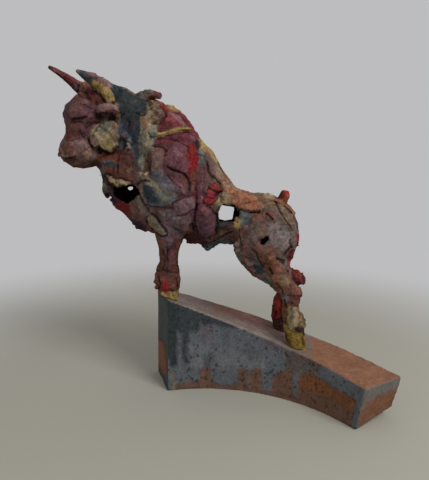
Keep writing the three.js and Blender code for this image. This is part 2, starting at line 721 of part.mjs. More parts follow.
const trunkLoft = new Loft(
  TRUNK.map(({ top, bottom, half, off }) => ({
    centre: V((top[0] + bottom[0]) / 2, off, SOLES + (top[1] + bottom[1]) / 2),
    first: V((top[0] - bottom[0]) / 2, 0, (top[1] - bottom[1]) / 2),
    second: V(0, -half, 0),
  })),
);

const turn = degToRad(HEAD_TURN);
const FACING = V(-Math.cos(turn), -Math.sin(turn), 0);
const NEARWARD = V(Math.sin(turn), -Math.cos(turn), 0);

// A place in the head: forward of the joint, to its near side, and above the forefeet's soles
function headPoint(forward, near, height) {
  return V(HEAD_X, HEAD_Y, SOLES + height).addScaledVector(FACING, forward).addScaledVector(NEARWARD, near);
}

const headLoft = new Loft(
  HEAD.map(({ front, back, height, half }) => ({
    centre: headPoint((front + back) / 2, 0, height),
    first: FACING.clone().multiplyScalar((front - back) / 2),
    second: NEARWARD.clone().multiplyScalar(half),
  })),
);

const raiseOf = (slabs) => {
  const raises = Object.entries(slabs).map(([letter, [, raise]]) => [letter, raise]);
  return Object.fromEntries(raises);
};
const trunk = new Quilt(trunkLoft, TRUNK_PLAN, raiseOf(TRUNK_SLABS), false);
const head = new Quilt(headLoft, HEAD_PLAN, raiseOf(HEAD_SLABS), true);
const trunkEnvelope = trunk.envelope(GAP);
const headEnvelope = head.envelope(GAP);

// Openings torn through the slabs: a blunt wedge from the near side to the far, seen along its axis
function tornOpening(near, far, outline, shrink) {
  const [from, to] = [near, far].map(([x, y, height]) => V(x, y, SOLES + height));
  const axis = to.clone().sub(from);
  const across = V(0, 0, 1).cross(axis).normalize().negate();
  const up = across.clone().cross(axis).normalize();
  if (up.z < 0) up.negate();
  const points = [from, to];
  const triangles = [];
  const n = outline.length;
  for (const [middle, scale] of [[from, 1], [to, shrink]]) {
    for (const [x, z] of outline) {
      points.push(middle.clone().addScaledVector(across, x * scale).addScaledVector(up, z * scale));
    }
  }
  for (let i = 0; i < n; i++) {
    const j = (i + 1) % n;
    triangles.push([0, 2 + j, 2 + i], [1, 2 + n + i, 2 + n + j]);
    triangles.push([2 + i, 2 + j, 2 + n + j], [2 + i, 2 + n + j, 2 + n + i]);
  }
  return solid(points, triangles);
}

// The square window through both flanks, and the hollow under the throat, which narrows to a slit
const WINDOW_NEAR = [7.5, -60, 112];
const WINDOW_FAR = [-10, 60, 101];
const WINDOW_OUTLINE = [[-13, -12], [-3, -14], [11, -13], [14, -3], [15, 10], [5, 12], [-9, 14], [-14, 2]];
const WINDOW_SHRINK = 0.6;
const HOLLOW_NEAR = [fore(0.7905), -60, 128.5];
const HOLLOW_FAR = [fore(0.902), 38, 132.5];
const HOLLOW_OUTLINE = [[-22, -8], [-10, -13], [6, -17], [17, -9], [25, 3], [17, 12], [-3, 13], [-19, 10]];
const HOLLOW_SHRINK = 0.05;

const HOLE_NEAR = [46, -70, 83];
const HOLE_FAR = [44, -30, 80];
const HOLE_OUTLINE = [[-6, -6], [2, -3], [7, 6], [0, 5], [-5, 2]];

const flankWindow = tornOpening(WINDOW_NEAR, WINDOW_FAR, WINDOW_OUTLINE, WINDOW_SHRINK);
const throatHollow = tornOpening(HOLLOW_NEAR, HOLLOW_FAR, HOLLOW_OUTLINE, HOLLOW_SHRINK);
const thighHole = tornOpening(HOLE_NEAR, HOLE_FAR, HOLE_OUTLINE, 1);

function body() {
  for (const [letter, [name, , color]] of Object.entries(TRUNK_SLABS)) {
    const slab = trunk.slab(letter).subtract(flankWindow).subtract(throatHollow).subtract(headEnvelope);
    add(name, slab, color);
  }
  for (const [letter, [name, , color]] of Object.entries(HEAD_SLABS)) add(name, head.slab(letter), color);
}

// Legs

// A block that fills the plinth and the air before its tall end, clear of the top by the gap. It gives each
// sole its slope, and has the same steps as the top slab so that its facets lie along the slab's.
const ground = (from, to) =>
  arcBlock(PLINTH_RADIUS, OUTER_RADIUS, from, to, () => -PLINTH_WIDTH, (along) => plinthTop(along) + GAP);
const groundBlock = ground(0, 1).add(ground(-BEFORE_END, 0));

// Level rings with their middle, half their length along X and half their width
const levelRing = (x, y, z, long, wide) => ({
  centre: V(x, y, z),
  first: V(long, 0, 0),
  second: V(0, -wide, 0),
});

// A cloven hoof
function hoof(foot, stations, height) {
  const sole = soleHeight(foot);
  const top = sole + height - GAP;
  const low = sole - height / 2;
  const rings = stations.map(({ at, x, long, wide }) =>
    levelRing(foot.x + x, foot.y, at === 0 ? low : lerp(sole, top, at), long, wide),
  );
  const { long } = stations[0];
  const front = foot.x - long * 2;
  const wedge = new THREE.Shape([
    new THREE.Vector2(front, foot.y - CLEFT),
    new THREE.Vector2(foot.x - long * CLEFT_REACH, foot.y),
    new THREE.Vector2(front, foot.y + CLEFT),
  ]);
  const cleft = new THREE.ExtrudeGeometry(wedge, { depth: 3 * height, bevelEnabled: false });
  cleft.translate(0, 0, low - height / 2);
  return new Loft(rings).solid(HOOF_ROWS, LEG_COLUMNS).subtract(groundBlock).subtract(solidOf(cleft));
}

function foreleg(foot, side) {
  const low = soleHeight(foot) + FORE_HOOF_HEIGHT;
  const high = SOLES + FORELEG_TOP;
  const rings = FORELEG.map(({ at, x, long, wide }) =>
    levelRing(foot.x + x, foot.y + side * FORELEG_SPREAD * at, lerp(low, high, at), long, wide),
  );
  return new Loft(rings).solid(FORELEG_ROWS, LEG_COLUMNS).subtract(trunkEnvelope);
}

// The thigh is a shell of one slab. Its lower end follows the hock.
const THIGH_PLAN = Array.from({ length: THIGH_ROWS }, () => "T".repeat(THIGH_COLUMNS));
const HIP = THIGH[0];
const HOCK = THIGH[HOCK_CUT];

function thighQuilt(foot, side) {
  const rings = THIGH.map(({ height, from, to, half, out }) => {
    const down = (HIP.height - height) / (HIP.height - HOCK.height);
    const x = (from + to) / 2 + (foot.hock - HIND_NEAR.hock) * down ** 2;
    return levelRing(x, side * out, SOLES + height, (to - from) / 2, half);
  });
  return new Quilt(new Loft(rings), THIGH_PLAN, { T: THIGH_RAISE }, false);
}

function cannon(foot, side) {
  const low = soleHeight(foot) + HIND_HOOF_HEIGHT;
  const high = SOLES + HOCK.height - GAP;
  const rings = CANNON.map(({ at, x, long, wide }) => {
    const y = lerp(foot.y, side * HOCK.out, at);
    return levelRing(lerp(foot.x, foot.hock, at) + x, y, lerp(low, high, at), long, wide);
  });
  return new Loft(rings).solid(CANNON_ROWS, LEG_COLUMNS);
}

const hindQuilts = { near: thighQuilt(HIND_NEAR, -1), far: thighQuilt(HIND_FAR, 1) };

function legs() {
  const sides = [["near", -1, FORE_NEAR, HIND_NEAR], ["far", 1, FORE_FAR, HIND_FAR]];
  for (const [where, side, fore, hind] of sides) {
    add(`foreleg_${where}`, foreleg(fore, side), FORELEG_CLAY);
    add(`fore_hoof_${where}`, hoof(fore, FORE_HOOF, FORE_HOOF_HEIGHT), YELLOW_PAINT);
    const shell = hindQuilts[where].slab("T").trimByPlane([0, 0, 1], SOLES + HOCK.height);
    add(`thigh_${where}`, shell.subtract(trunkEnvelope).subtract(thighHole), THIGH_CLAY);
    add(`hind_cannon_${where}`, cannon(hind, side), side < 0 ? CANNON_CLAY : FAR_CANNON_CLAY);
    add(`hind_hoof_${where}`, hoof(hind, HIND_HOOF, HIND_HOOF_HEIGHT), YELLOW_PAINT);
  }
}

// Horns, ears and what is luted on

// A tapering sweep through places that each have a half height and a half depth, grown all round by swell
function taper(places, swell = 0) {
  const path = new THREE.CatmullRomCurve3(places.map(({ at }) => at));
  const rings = places.map(({ at, high, deep }, i) => {
    const along = path.getTangent(i / (places.length - 1));
    const across = V(0, 0, 1).cross(along).normalize();
    const up = along.clone().cross(across).normalize();
    up.multiplyScalar(high + swell);
    across.multiplyScalar(deep + swell);
    return { centre: at, first: up, second: across };
  });
  return new Loft(rings).solid(TAPER_ROWS, TAPER_COLUMNS);
}

const inHead =
  (side) =>
  ([forward, near, height, high, deep]) => ({ at: headPoint(forward, -side * near, height), high, deep });
const inBody = ([x, y, height, high, deep]) => ({ at: V(x, y, SOLES + height), high, deep });
const offBody = (piece) => piece.subtract(headEnvelope).subtract(trunkEnvelope);

function details() {
  for (const [where, side, places] of [["near", -1, HORN_NEAR], ["far", 1, HORN_FAR]]) {
    const slip = side < 0 ? NEAR_HORN_SLIP : FAR_HORN_SLIP;
    add(`horn_${where}`, offBody(taper(places.map(inHead(side)))), slip);
    const lobe = taper(EAR.map(inHead(side)));
    const cup = taper(EAR_CUP.map(inHead(side)));
    add(`ear_${where}`, offBody(lobe.subtract(cup)), EAR_SLIP);
  }
  add("crest_knob", offBody(taper(CREST_KNOB.map(inBody))), CREST_SLIP);
  add("tail_knob", offBody(taper(TAIL_KNOB.map(inBody))), RED_PAINT);
  add("hock_knob", taper(HOCK_KNOB.map(inBody)).subtract(hindQuilts.near.envelope(GAP)), RED_PAINT);
  add("hump_coil", offBody(taper(HUMP_COIL.map(inBody))), YELLOW_PAINT);
  const swollen = (places) => taper(places.map(inHead(-1)), 2 * GAP);
  const strap = taper(MANE_STRAP.map(inHead(-1))).subtract(swollen(HORN_NEAR)).subtract(swollen(EAR));
  add("mane_strap", offBody(strap), YELLOW_PAINT);
}

plinth();
body();
legs();
details();

export default object;
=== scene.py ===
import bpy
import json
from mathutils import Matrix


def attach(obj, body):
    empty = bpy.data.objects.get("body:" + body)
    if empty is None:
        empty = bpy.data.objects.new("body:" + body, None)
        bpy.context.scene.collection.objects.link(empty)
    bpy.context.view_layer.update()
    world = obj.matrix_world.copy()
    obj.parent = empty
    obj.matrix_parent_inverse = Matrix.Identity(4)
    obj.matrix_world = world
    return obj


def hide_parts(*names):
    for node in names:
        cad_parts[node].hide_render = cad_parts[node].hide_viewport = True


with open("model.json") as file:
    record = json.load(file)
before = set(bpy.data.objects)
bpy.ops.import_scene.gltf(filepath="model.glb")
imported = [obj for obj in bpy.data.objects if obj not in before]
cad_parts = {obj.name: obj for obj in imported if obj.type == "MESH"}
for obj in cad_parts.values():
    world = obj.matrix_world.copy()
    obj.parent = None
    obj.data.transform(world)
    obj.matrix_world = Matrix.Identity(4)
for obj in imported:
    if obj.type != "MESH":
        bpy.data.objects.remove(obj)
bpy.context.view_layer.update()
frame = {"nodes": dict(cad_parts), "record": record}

import itertools
import json
import math

import bpy
import numpy as np
from mathutils import Matrix, Vector
from mathutils.bvhtree import BVHTree

MM = 0.001

# Camera of the photograph, in millimetres, degrees and the photograph's pixels
PHOTO_WIDE, PHOTO_HIGH = 429, 480
CAMERA_AT = np.array([45.4, -554.6, 287.7])
CAMERA_YAW = math.radians(6.4)
CAMERA_PITCH = math.radians(9.93)
CAMERA_ROLL = math.radians(1.006)
FOCAL_PIXELS = 455.2
SENSOR = 36.0

# Clay skin, in millimetres: the grain of its mesh, how it is smoothed, and how thick its pieces are
ANIMAL_GRAIN = 1.0
PLINTH_GRAIN = 1.3
SMOOTH_PASSES = 16
SMOOTH_IN, SMOOTH_OUT = 0.5, 0.52
NORMAL_PASSES = 4
SLAB = 6.0
PLINTH_SLAB = 7.0
THICKNESS = {
    "plinth": PLINTH_SLAB, "foreleg": 4, "hind_cannon": 4, "fore_hoof": 1, "hind_hoof": 1, "horn": 1.5,
    "ear": 1.2, "mane_strap": 1.2, "hump_coil": 0.8, "crest_knob": 1.5, "tail_knob": 2, "hock_knob": 2,
}

# How the form lies: heights of the body count from the forefeet's soles
SOLES = 117.4
TRUNK_LINE = [
    (88, 79), (65, 89), (44, 95.5), (22, 98), (1, 103), (-15.5, 109), (-30, 121), (-47, 132.5),
    (-64, 143.5), (-80, 153), (-98, 161.5), (-115, 171), (-131, 180.7), (-143, 189), (-153, 198),
    (-163, 207.5),
]
HEAD_JOINT = np.array([-148.0, 0.0, 0.0])
HEAD_TURN = math.radians(38)
HEAD_AHEAD = np.array([-math.cos(HEAD_TURN), -math.sin(HEAD_TURN), 0.0])
HEAD_NEARWARD = np.array([math.sin(HEAD_TURN), -math.cos(HEAD_TURN), 0.0])
HEAD_LINE = [(24, 172), (24, 240)]
THIGH_LINE = [(50, 29, 100), (50, 29, 65), (75, 23, 20)]
PLINTH_CENTRE = np.array([3.9, -208.2])
PLINTH_RADIUS, PLINTH_WIDTH = 191.3, 59.1
PLINTH_ANGLES = (112.5, 37.3)
PLINTH_HEIGHTS = (120, 52)
PLINTH_SAG = 12.4
PLINTH_LINE_START, PLINTH_LINE_END, PLINTH_LINE_SPOTS = 0.1, 0.9, 9

# Colours as the photograph shows them in plain light, 0 to 255
TONES = {
    "plum": (106, 68, 70), "violet": (74, 48, 62), "ember": (98, 55, 45), "rosewood": (88, 54, 50),
    "mauve": (104, 78, 74), "peach": (132, 104, 88), "slate_violet": (94, 76, 84), "umber": (62, 38, 28),
    "cream": (132, 116, 88), "sage": (94, 92, 80), "straw": (126, 110, 74), "pink": (128, 98, 96),
    "tan": (112, 90, 70), "russet": (118, 78, 66), "soot": (36, 22, 20), "crimson": (120, 36, 38),
    "maroon": (82, 30, 32), "teal": (52, 64, 70), "slate": (42, 45, 48), "ink": (34, 40, 50),
    "ochre": (132, 120, 96), "gold": (152, 126, 76), "olive": (78, 60, 28), "rose": (118, 88, 92),
    "blue_grey": (92, 92, 100), "slate_blue": (44, 56, 66), "blood": (104, 24, 26), "brick": (122, 68, 54),
    "clay": (138, 94, 72), "bone": (154, 134, 110), "stone": (104, 94, 88), "sienna": (104, 66, 50),
    "denim": (66, 72, 84), "plum_red": (112, 49, 53), "wine": (92, 42, 52), "aubergine": (60, 40, 52),
    "ash": (98, 96, 96), "hide": (92, 66, 62), "coal": (30, 28, 32), "oxide": (140, 44, 32),
    "glaze": (93, 97, 103), "glaze_dark": (56, 62, 65), "glaze_pale": (102, 105, 109),
    "glaze_mauve": (96, 90, 96), "glaze_brown": (92, 82, 80), "glaze_yellow": (120, 112, 90),
    "bare": (135, 95, 73), "wash": (118, 100, 92), "plum_shade": (76, 44, 46), "slate_green": (46, 54, 56),
    "yellow": (124, 100, 44), "throat": (98, 62, 54), "top_pink": (142, 124, 121),
    "top_streak": (146, 110, 100), "scarlet": (126, 24, 24), "scarlet_spot": (128, 28, 34),
    "khaki": (108, 96, 82), "violet_rose": (82, 52, 60), "plum_grey": (98, 58, 67),
    "stone_green": (92, 94, 84), "teal_grey": (76, 82, 84), "stone_pink": (98, 80, 74),
    "ash_pink": (112, 100, 98), "crimson_dull": (112, 52, 54), "mid_mauve": (109, 83, 90),
    "low_mauve": (106, 82, 84), "low_grey": (106, 92, 98), "neck_pale": (112, 106, 92),
    "knob_red": (156, 40, 34), "cheek_pale": (140, 126, 102), "umber_red": (62, 34, 34),
    "end_orange": (122, 84, 64), "end_band": (112, 106, 103), "strap_clay": (132, 88, 66),
    "panel": (108, 80, 66), "panel_orange": (120, 77, 50), "foot_wash": (104, 76, 68),
    "end_clay": (124, 84, 66),
}

# Each node's own colour, under the patches, named once where both sides have the same
NODE_TONES = {
    "face_slab": "plum", "muzzle_slab": "mauve", "jaw_slab": "slate_violet", "poll_slab": "russet",
    "cheek_slab_near": "cream", "cheek_slab_far": "peach", "horn_near": "teal", "horn_far": "crimson_dull",
    "ear": "pink", "mane_strap": "gold", "crest_knob": "stone", "mane_slab": "slate",
    "throat_slab_near": "brick", "throat_slab_far": "ember", "neck_slab_near": "ochre",
    "neck_slab_far": "tan", "chest_slab": "aubergine", "brisket_slab": "rosewood",
    "shoulder_edge_slab": "mauve", "hump_slab": "plum_red", "hump_edge_slab": "wine", "hump_coil": "gold",
    "blade_slab": "rosewood", "arm_slab": "mauve", "rib_slab": "plum", "flank_slab": "slate",
    "oval_rib_slab": "violet", "belly_slab": "violet", "groin_slab": "umber", "back_strap_slab": "clay",
    "loin_slab": "ochre", "rump_slab_near": "stone", "rump_slab_far": "mauve", "buttock_slab": "hide",
    "foreleg": "hide", "thigh_near": "stone", "thigh_far": "mauve", "hind_cannon_near": "sienna",
    "hind_cannon_far": "oxide", "fore_hoof_near": "gold", "fore_hoof_far": "straw",
    "hind_hoof_near": "gold", "hind_hoof_far": "umber", "tail_knob": "oxide", "hock_knob": "oxide",
    "plinth_front_wall": "glaze", "plinth_back_wall": "glaze", "plinth_tall_end": "glaze",
    "plinth_low_end": "end_clay", "plinth_top": "wash", "plinth_base": "panel",
}

# What is laid on the clay by the photograph's pixels

# A patch, a torn scrap of clay, has a tone, a height in millimetres and an outline. A dab of slip has a
# tone, a radius and a line. A swell has a width, a rise and a line. A crack has a width, a depth and a line
STRAP = [
    (92, 80), (98, 81), (105, 86), (111, 90), (114, 96), (114, 102), (109, 105), (106, 101), (103, 95),
    (98, 90), (92, 84),
]
PINK_SLAB = [(96, 77), (103, 78), (109, 82), (113, 87), (108, 88), (101, 83)]
HEAD_PATCHES = {
    "poll": ("russet", 0.5, [(77, 84), (84, 80), (92, 80), (99, 84), (105, 92), (106, 104), (98, 105),
        (90, 99), (82, 98), (76, 101), (74, 92)]),
    "poll_shade": ("umber", 0, [(95, 98), (105, 98), (107, 104), (97, 106)]),
    "poll_maroon": ("maroon", 0, [(83, 90), (91, 88), (96, 92), (95, 99), (86, 98)]),
    "brow": ("violet", 0, [(64, 112), (71, 103), (77, 100), (73, 108), (71, 119), (65, 121)]),
    "forehead": ("plum", 0.5, [(76, 99), (82, 97), (90, 99), (95, 103), (97, 109), (95, 116), (90, 120),
        (86, 117), (82, 117), (73, 119), (68, 112), (69, 104)]),
    "bridge": ("rosewood", 0, [(64, 120), (73, 120), (78, 126), (82, 132), (80, 139), (69, 141), (63, 138),
        (65, 130)]),
    "under_eye": ("plum", 0, [(74, 120), (80, 120), (88, 118), (96, 118), (97, 122), (88, 123), (82, 126)]),
    "cheek_piece": ("violet_rose", 0.3, [(79, 128), (84, 127), (90, 126), (91, 131), (90, 136), (87, 139),
        (82, 137)]),
    "muzzle": ("mauve", 0.5, [(64, 140), (70, 140), (80, 137), (88, 140), (92, 146), (97, 151), (97, 160),
        (78, 162), (75, 157), (68, 159), (59, 158), (56, 152), (59, 146)]),
    "muzzle_brown": ("rosewood", 0, [(64, 144), (74, 144), (76, 152), (72, 156), (62, 156), (60, 150)]),
    "muzzle_peach": ("peach", 0, [(84, 147), (91, 148), (92, 156), (86, 158), (83, 153)]),
    "chin": ("hide", 0, [(60, 159), (72, 158), (78, 160), (90, 160), (98, 157), (100, 162), (97, 168),
        (84, 170), (72, 168), (62, 165)]),
    "chin_rust": ("umber", 0, [(90, 161), (100, 157), (101, 168), (90, 169)]),
    "chin_low": ("ember", 0, [(66, 164), (80, 166), (90, 167), (90, 170), (72, 169)]),
    "under_cheek": ("ember", 0, [(98, 149), (106, 151), (120, 148), (122, 157), (112, 160), (102, 161)]),
    "cheek": ("cheek_pale", 2.4, [(113, 120), (107, 122), (102, 125), (97, 131), (95, 134), (90, 139),
        (91, 143), (95, 147), (99, 145), (103, 149), (107, 152), (111, 152), (114, 148), (117, 145),
        (119, 140), (119, 132), (117, 124)]),
    "cheek_strip": ("denim", 0, [(117, 124), (122, 124), (122, 148), (117, 148)]),
    "strap": ("gold", 1.4, STRAP),
    "strap_olive": ("olive", 0, [(106, 98), (111, 96), (113, 103), (107, 104)]),
    "pink_slab": ("pink", 0.8, PINK_SLAB),
    "cheek_top": ("sage", 0, [(97, 131), (101, 125), (108, 121), (113, 121), (113, 127), (107, 131),
        (100, 135)]),
    "cheek_tip": ("mauve", 0, [(89, 137), (93, 135), (97, 139), (97, 145), (91, 144)]),
    "cheek_side": ("tan", 0, [(113, 121), (118, 124), (119, 140), (115, 146), (114, 132)]),
    "cheek_foot": ("straw", 0, [(100, 142), (110, 138), (114, 143), (112, 151), (106, 151)]),
    "cheek_scrap": ("peach", 0.8, [(92, 126), (97, 125), (98, 128), (94, 130)]),
}
HEAD_DABS = {
    "temple": ("violet", 4, [(88, 107), (92, 110)]), "temple_glow": ("ember", 2.5, [(94, 103), (96, 107)]),
    "cheek_red": ("rosewood", 1.4, [(113, 123), (114, 130)]),
    "cheek_spot": ("tan", 2, [(104, 136), (106, 141)]), "jaw_spot": ("bone", 1.2, [(97, 146), (99, 147)]),
    "brow_spot": ("peach", 1.4, [(83, 101), (88, 102)]),
    "nose_streak": ("blood", 1.3, [(66, 131), (69, 138)]),
    "nose_pale": ("peach", 2, [(60, 148), (63, 153)]),
    "muzzle_pink": ("pink", 2, [(72, 142), (84, 143), (90, 148)]),
    "nose_orange": ("sienna", 2, [(67, 146), (72, 152)]),
    "lip_edge": ("peach", 1, [(62, 155), (68, 157), (75, 154)]),
    "chin_mauve": ("mauve", 2, [(78, 163), (86, 163)]), "poll_peach": ("peach", 1.4, [(80, 85), (84, 88)]),
    "poll_maroon": ("maroon", 1.8, [(92, 96), (99, 100)]), "poll_brick": ("brick", 2, [(94, 87), (99, 92)]),
    "poll_soot": ("soot", 1.2, [(82, 91), (87, 92)]),
    "poll_soot_next": ("soot", 1.2, [(86, 97), (93, 100)]),
    "poll_clay": ("clay", 1.2, [(88, 84), (92, 87)]), "brow_dust": ("mauve", 2.6, [(72, 108), (80, 106)]),
    # Painted shade: eye, socket, under_lip and lid lay dark slip in the eye's slit and as the shadow under
    # the brow, the lip and the lid
    "eye": ("soot", 1.3, [(73, 119.5), (80, 118.4), (86, 117)]),
    "socket": ("soot", 1.5, [(85, 126.5), (90, 124), (98, 123), (104, 120.5)]),
    "under_lip": ("umber", 1.4, [(62, 160), (70, 161), (76, 158)]),
    "lid": ("umber", 1.2, [(72, 122), (80, 122)]),
}
HEAD_SWELLS = {
    "brow": (5, 1.8, [(74, 111), (84, 110), (92, 110)]),
    "socket": (3, -1.4, [(76, 123), (84, 124), (92, 123)]), "bone": (4, 1.6, [(82, 131), (87, 132)]),
    "bridge": (6, -3.2, [(60, 116), (61, 132)]), "muzzle": (8, 1.8, [(70, 150), (84, 150)]),
    "fold": (2.4, -1.6, [(80, 139), (89, 141), (95, 149)]),
    "under_ear": (3.6, -3.6, [(100, 118), (108, 118), (115, 118)]),
    "under_cheek": (3.4, -3.4, [(95, 152), (104, 155), (117, 153)]),
    "temple": (2.4, -1.8, [(96, 105), (97, 120)]), "under_lip": (2.6, -1.8, [(60, 160), (76, 160)]),
    "poll_left": (3, 1.6, [(80, 88)]), "poll_top": (3, 1.8, [(91, 86)]),
    "poll_right": (2.6, 1.6, [(99, 95)]), "poll_dip": (2.4, -1.6, [(85, 93), (88, 98)]),
    "poll_dip_right": (2.2, -1.4, [(95, 90), (94, 98)]),
}
HEAD_CRACKS = {
    # Painted shade: under_ear is a wide, shallow crack whose dark is the shade under the ear
    "under_ear": (2.4, 0.6, [(100, 117), (107, 118), (114, 118)]),
    "under_strap": (0.9, 0.8, [(97, 90), (102, 96), (105, 103)]),
    "pink_edge": (0.8, 0.6, [(98, 77), (103, 79), (109, 83)]),
    "cheek_left": (1.1, 1.6, [(89, 139), (90, 144), (94, 148), (98, 147)]),
    "cheek_foot": (0.9, 1.4, [(99, 148), (103, 152), (109, 154), (114, 151), (118, 147)]),
    "eye": (0.95, 2.2, [(72, 120), (74.5, 118.6), (77, 119.4), (80, 118.2), (82, 118.8)]),
    "eye_corner": (0.8, 1.8, [(82, 118.8), (84, 116.6), (87, 116.8)]),
    "lid": (0.5, 0.8, [(71, 122.5), (76, 122), (81, 122.5)]),
    "brow_line": (0.45, 0.7, [(78, 104), (86, 105), (92, 109)]),
    "socket": (0.9, 1.4, [(84, 126), (87, 123.5), (93, 123.5), (99, 122), (104, 120)]),
    "cheek_piece": (0.7, 1, [(80, 130), (81, 135), (84, 138)]),
    "muzzle_top": (0.5, 0.6, [(66, 141), (72, 141), (80, 138)]),
    "mouth": (0.8, 1.8, [(59, 157), (64, 159), (70, 159), (75, 156.5)]),
    "poll_mid": (0.9, 1.4, [(84, 88), (86, 93), (90, 99)]),
    "poll_right": (0.8, 1.2, [(93, 84), (95, 90), (98, 96)]),
    "poll_low": (0.7, 1, [(78, 94), (82, 97), (88, 99)]),
    "temple": (0.9, 1.4, [(96, 102), (97, 110), (97, 117)]), "nostril": (1, 1.6, [(58, 151), (60, 153)]),
}
EAR_SWELLS = {
    "end": (5, -3.4, [(124, 106), (125, 116)]), "root": (3, -1.6, [(93, 104), (93, 114)]),
    "thin": (9, -0.7, [(98, 108), (118, 110)]), "top": (3.4, -2.4, [(96, 100), (106, 99), (118, 101)]),
    "low": (3, -1.6, [(98, 120), (106, 121), (115, 121)]),
}
EAR_PATCHES = {
    "end": ("slate", 0, [(119, 98), (128, 98), (128, 124), (119, 124), (118, 112)]),
    "root": ("plum", 0, [(90, 98), (97, 100), (97, 116), (90, 118)]),
    "lobe": ("pink", 0.5, [(97, 105), (104, 103), (112, 104), (118, 108), (119, 113), (110, 113),
        (100, 114), (96, 111)]),
    # Painted shade: hollow is a near-black tone for the shade in the ear's hollow
    "hollow": ("soot", -0.6, [(97, 113.5), (107, 112.5), (116, 114), (116, 121), (105, 123), (97, 121)]),
    "rim": ("tan", 0.4, [(117, 112), (120, 114), (121, 125), (117, 131), (114, 124), (115, 116)]),
}
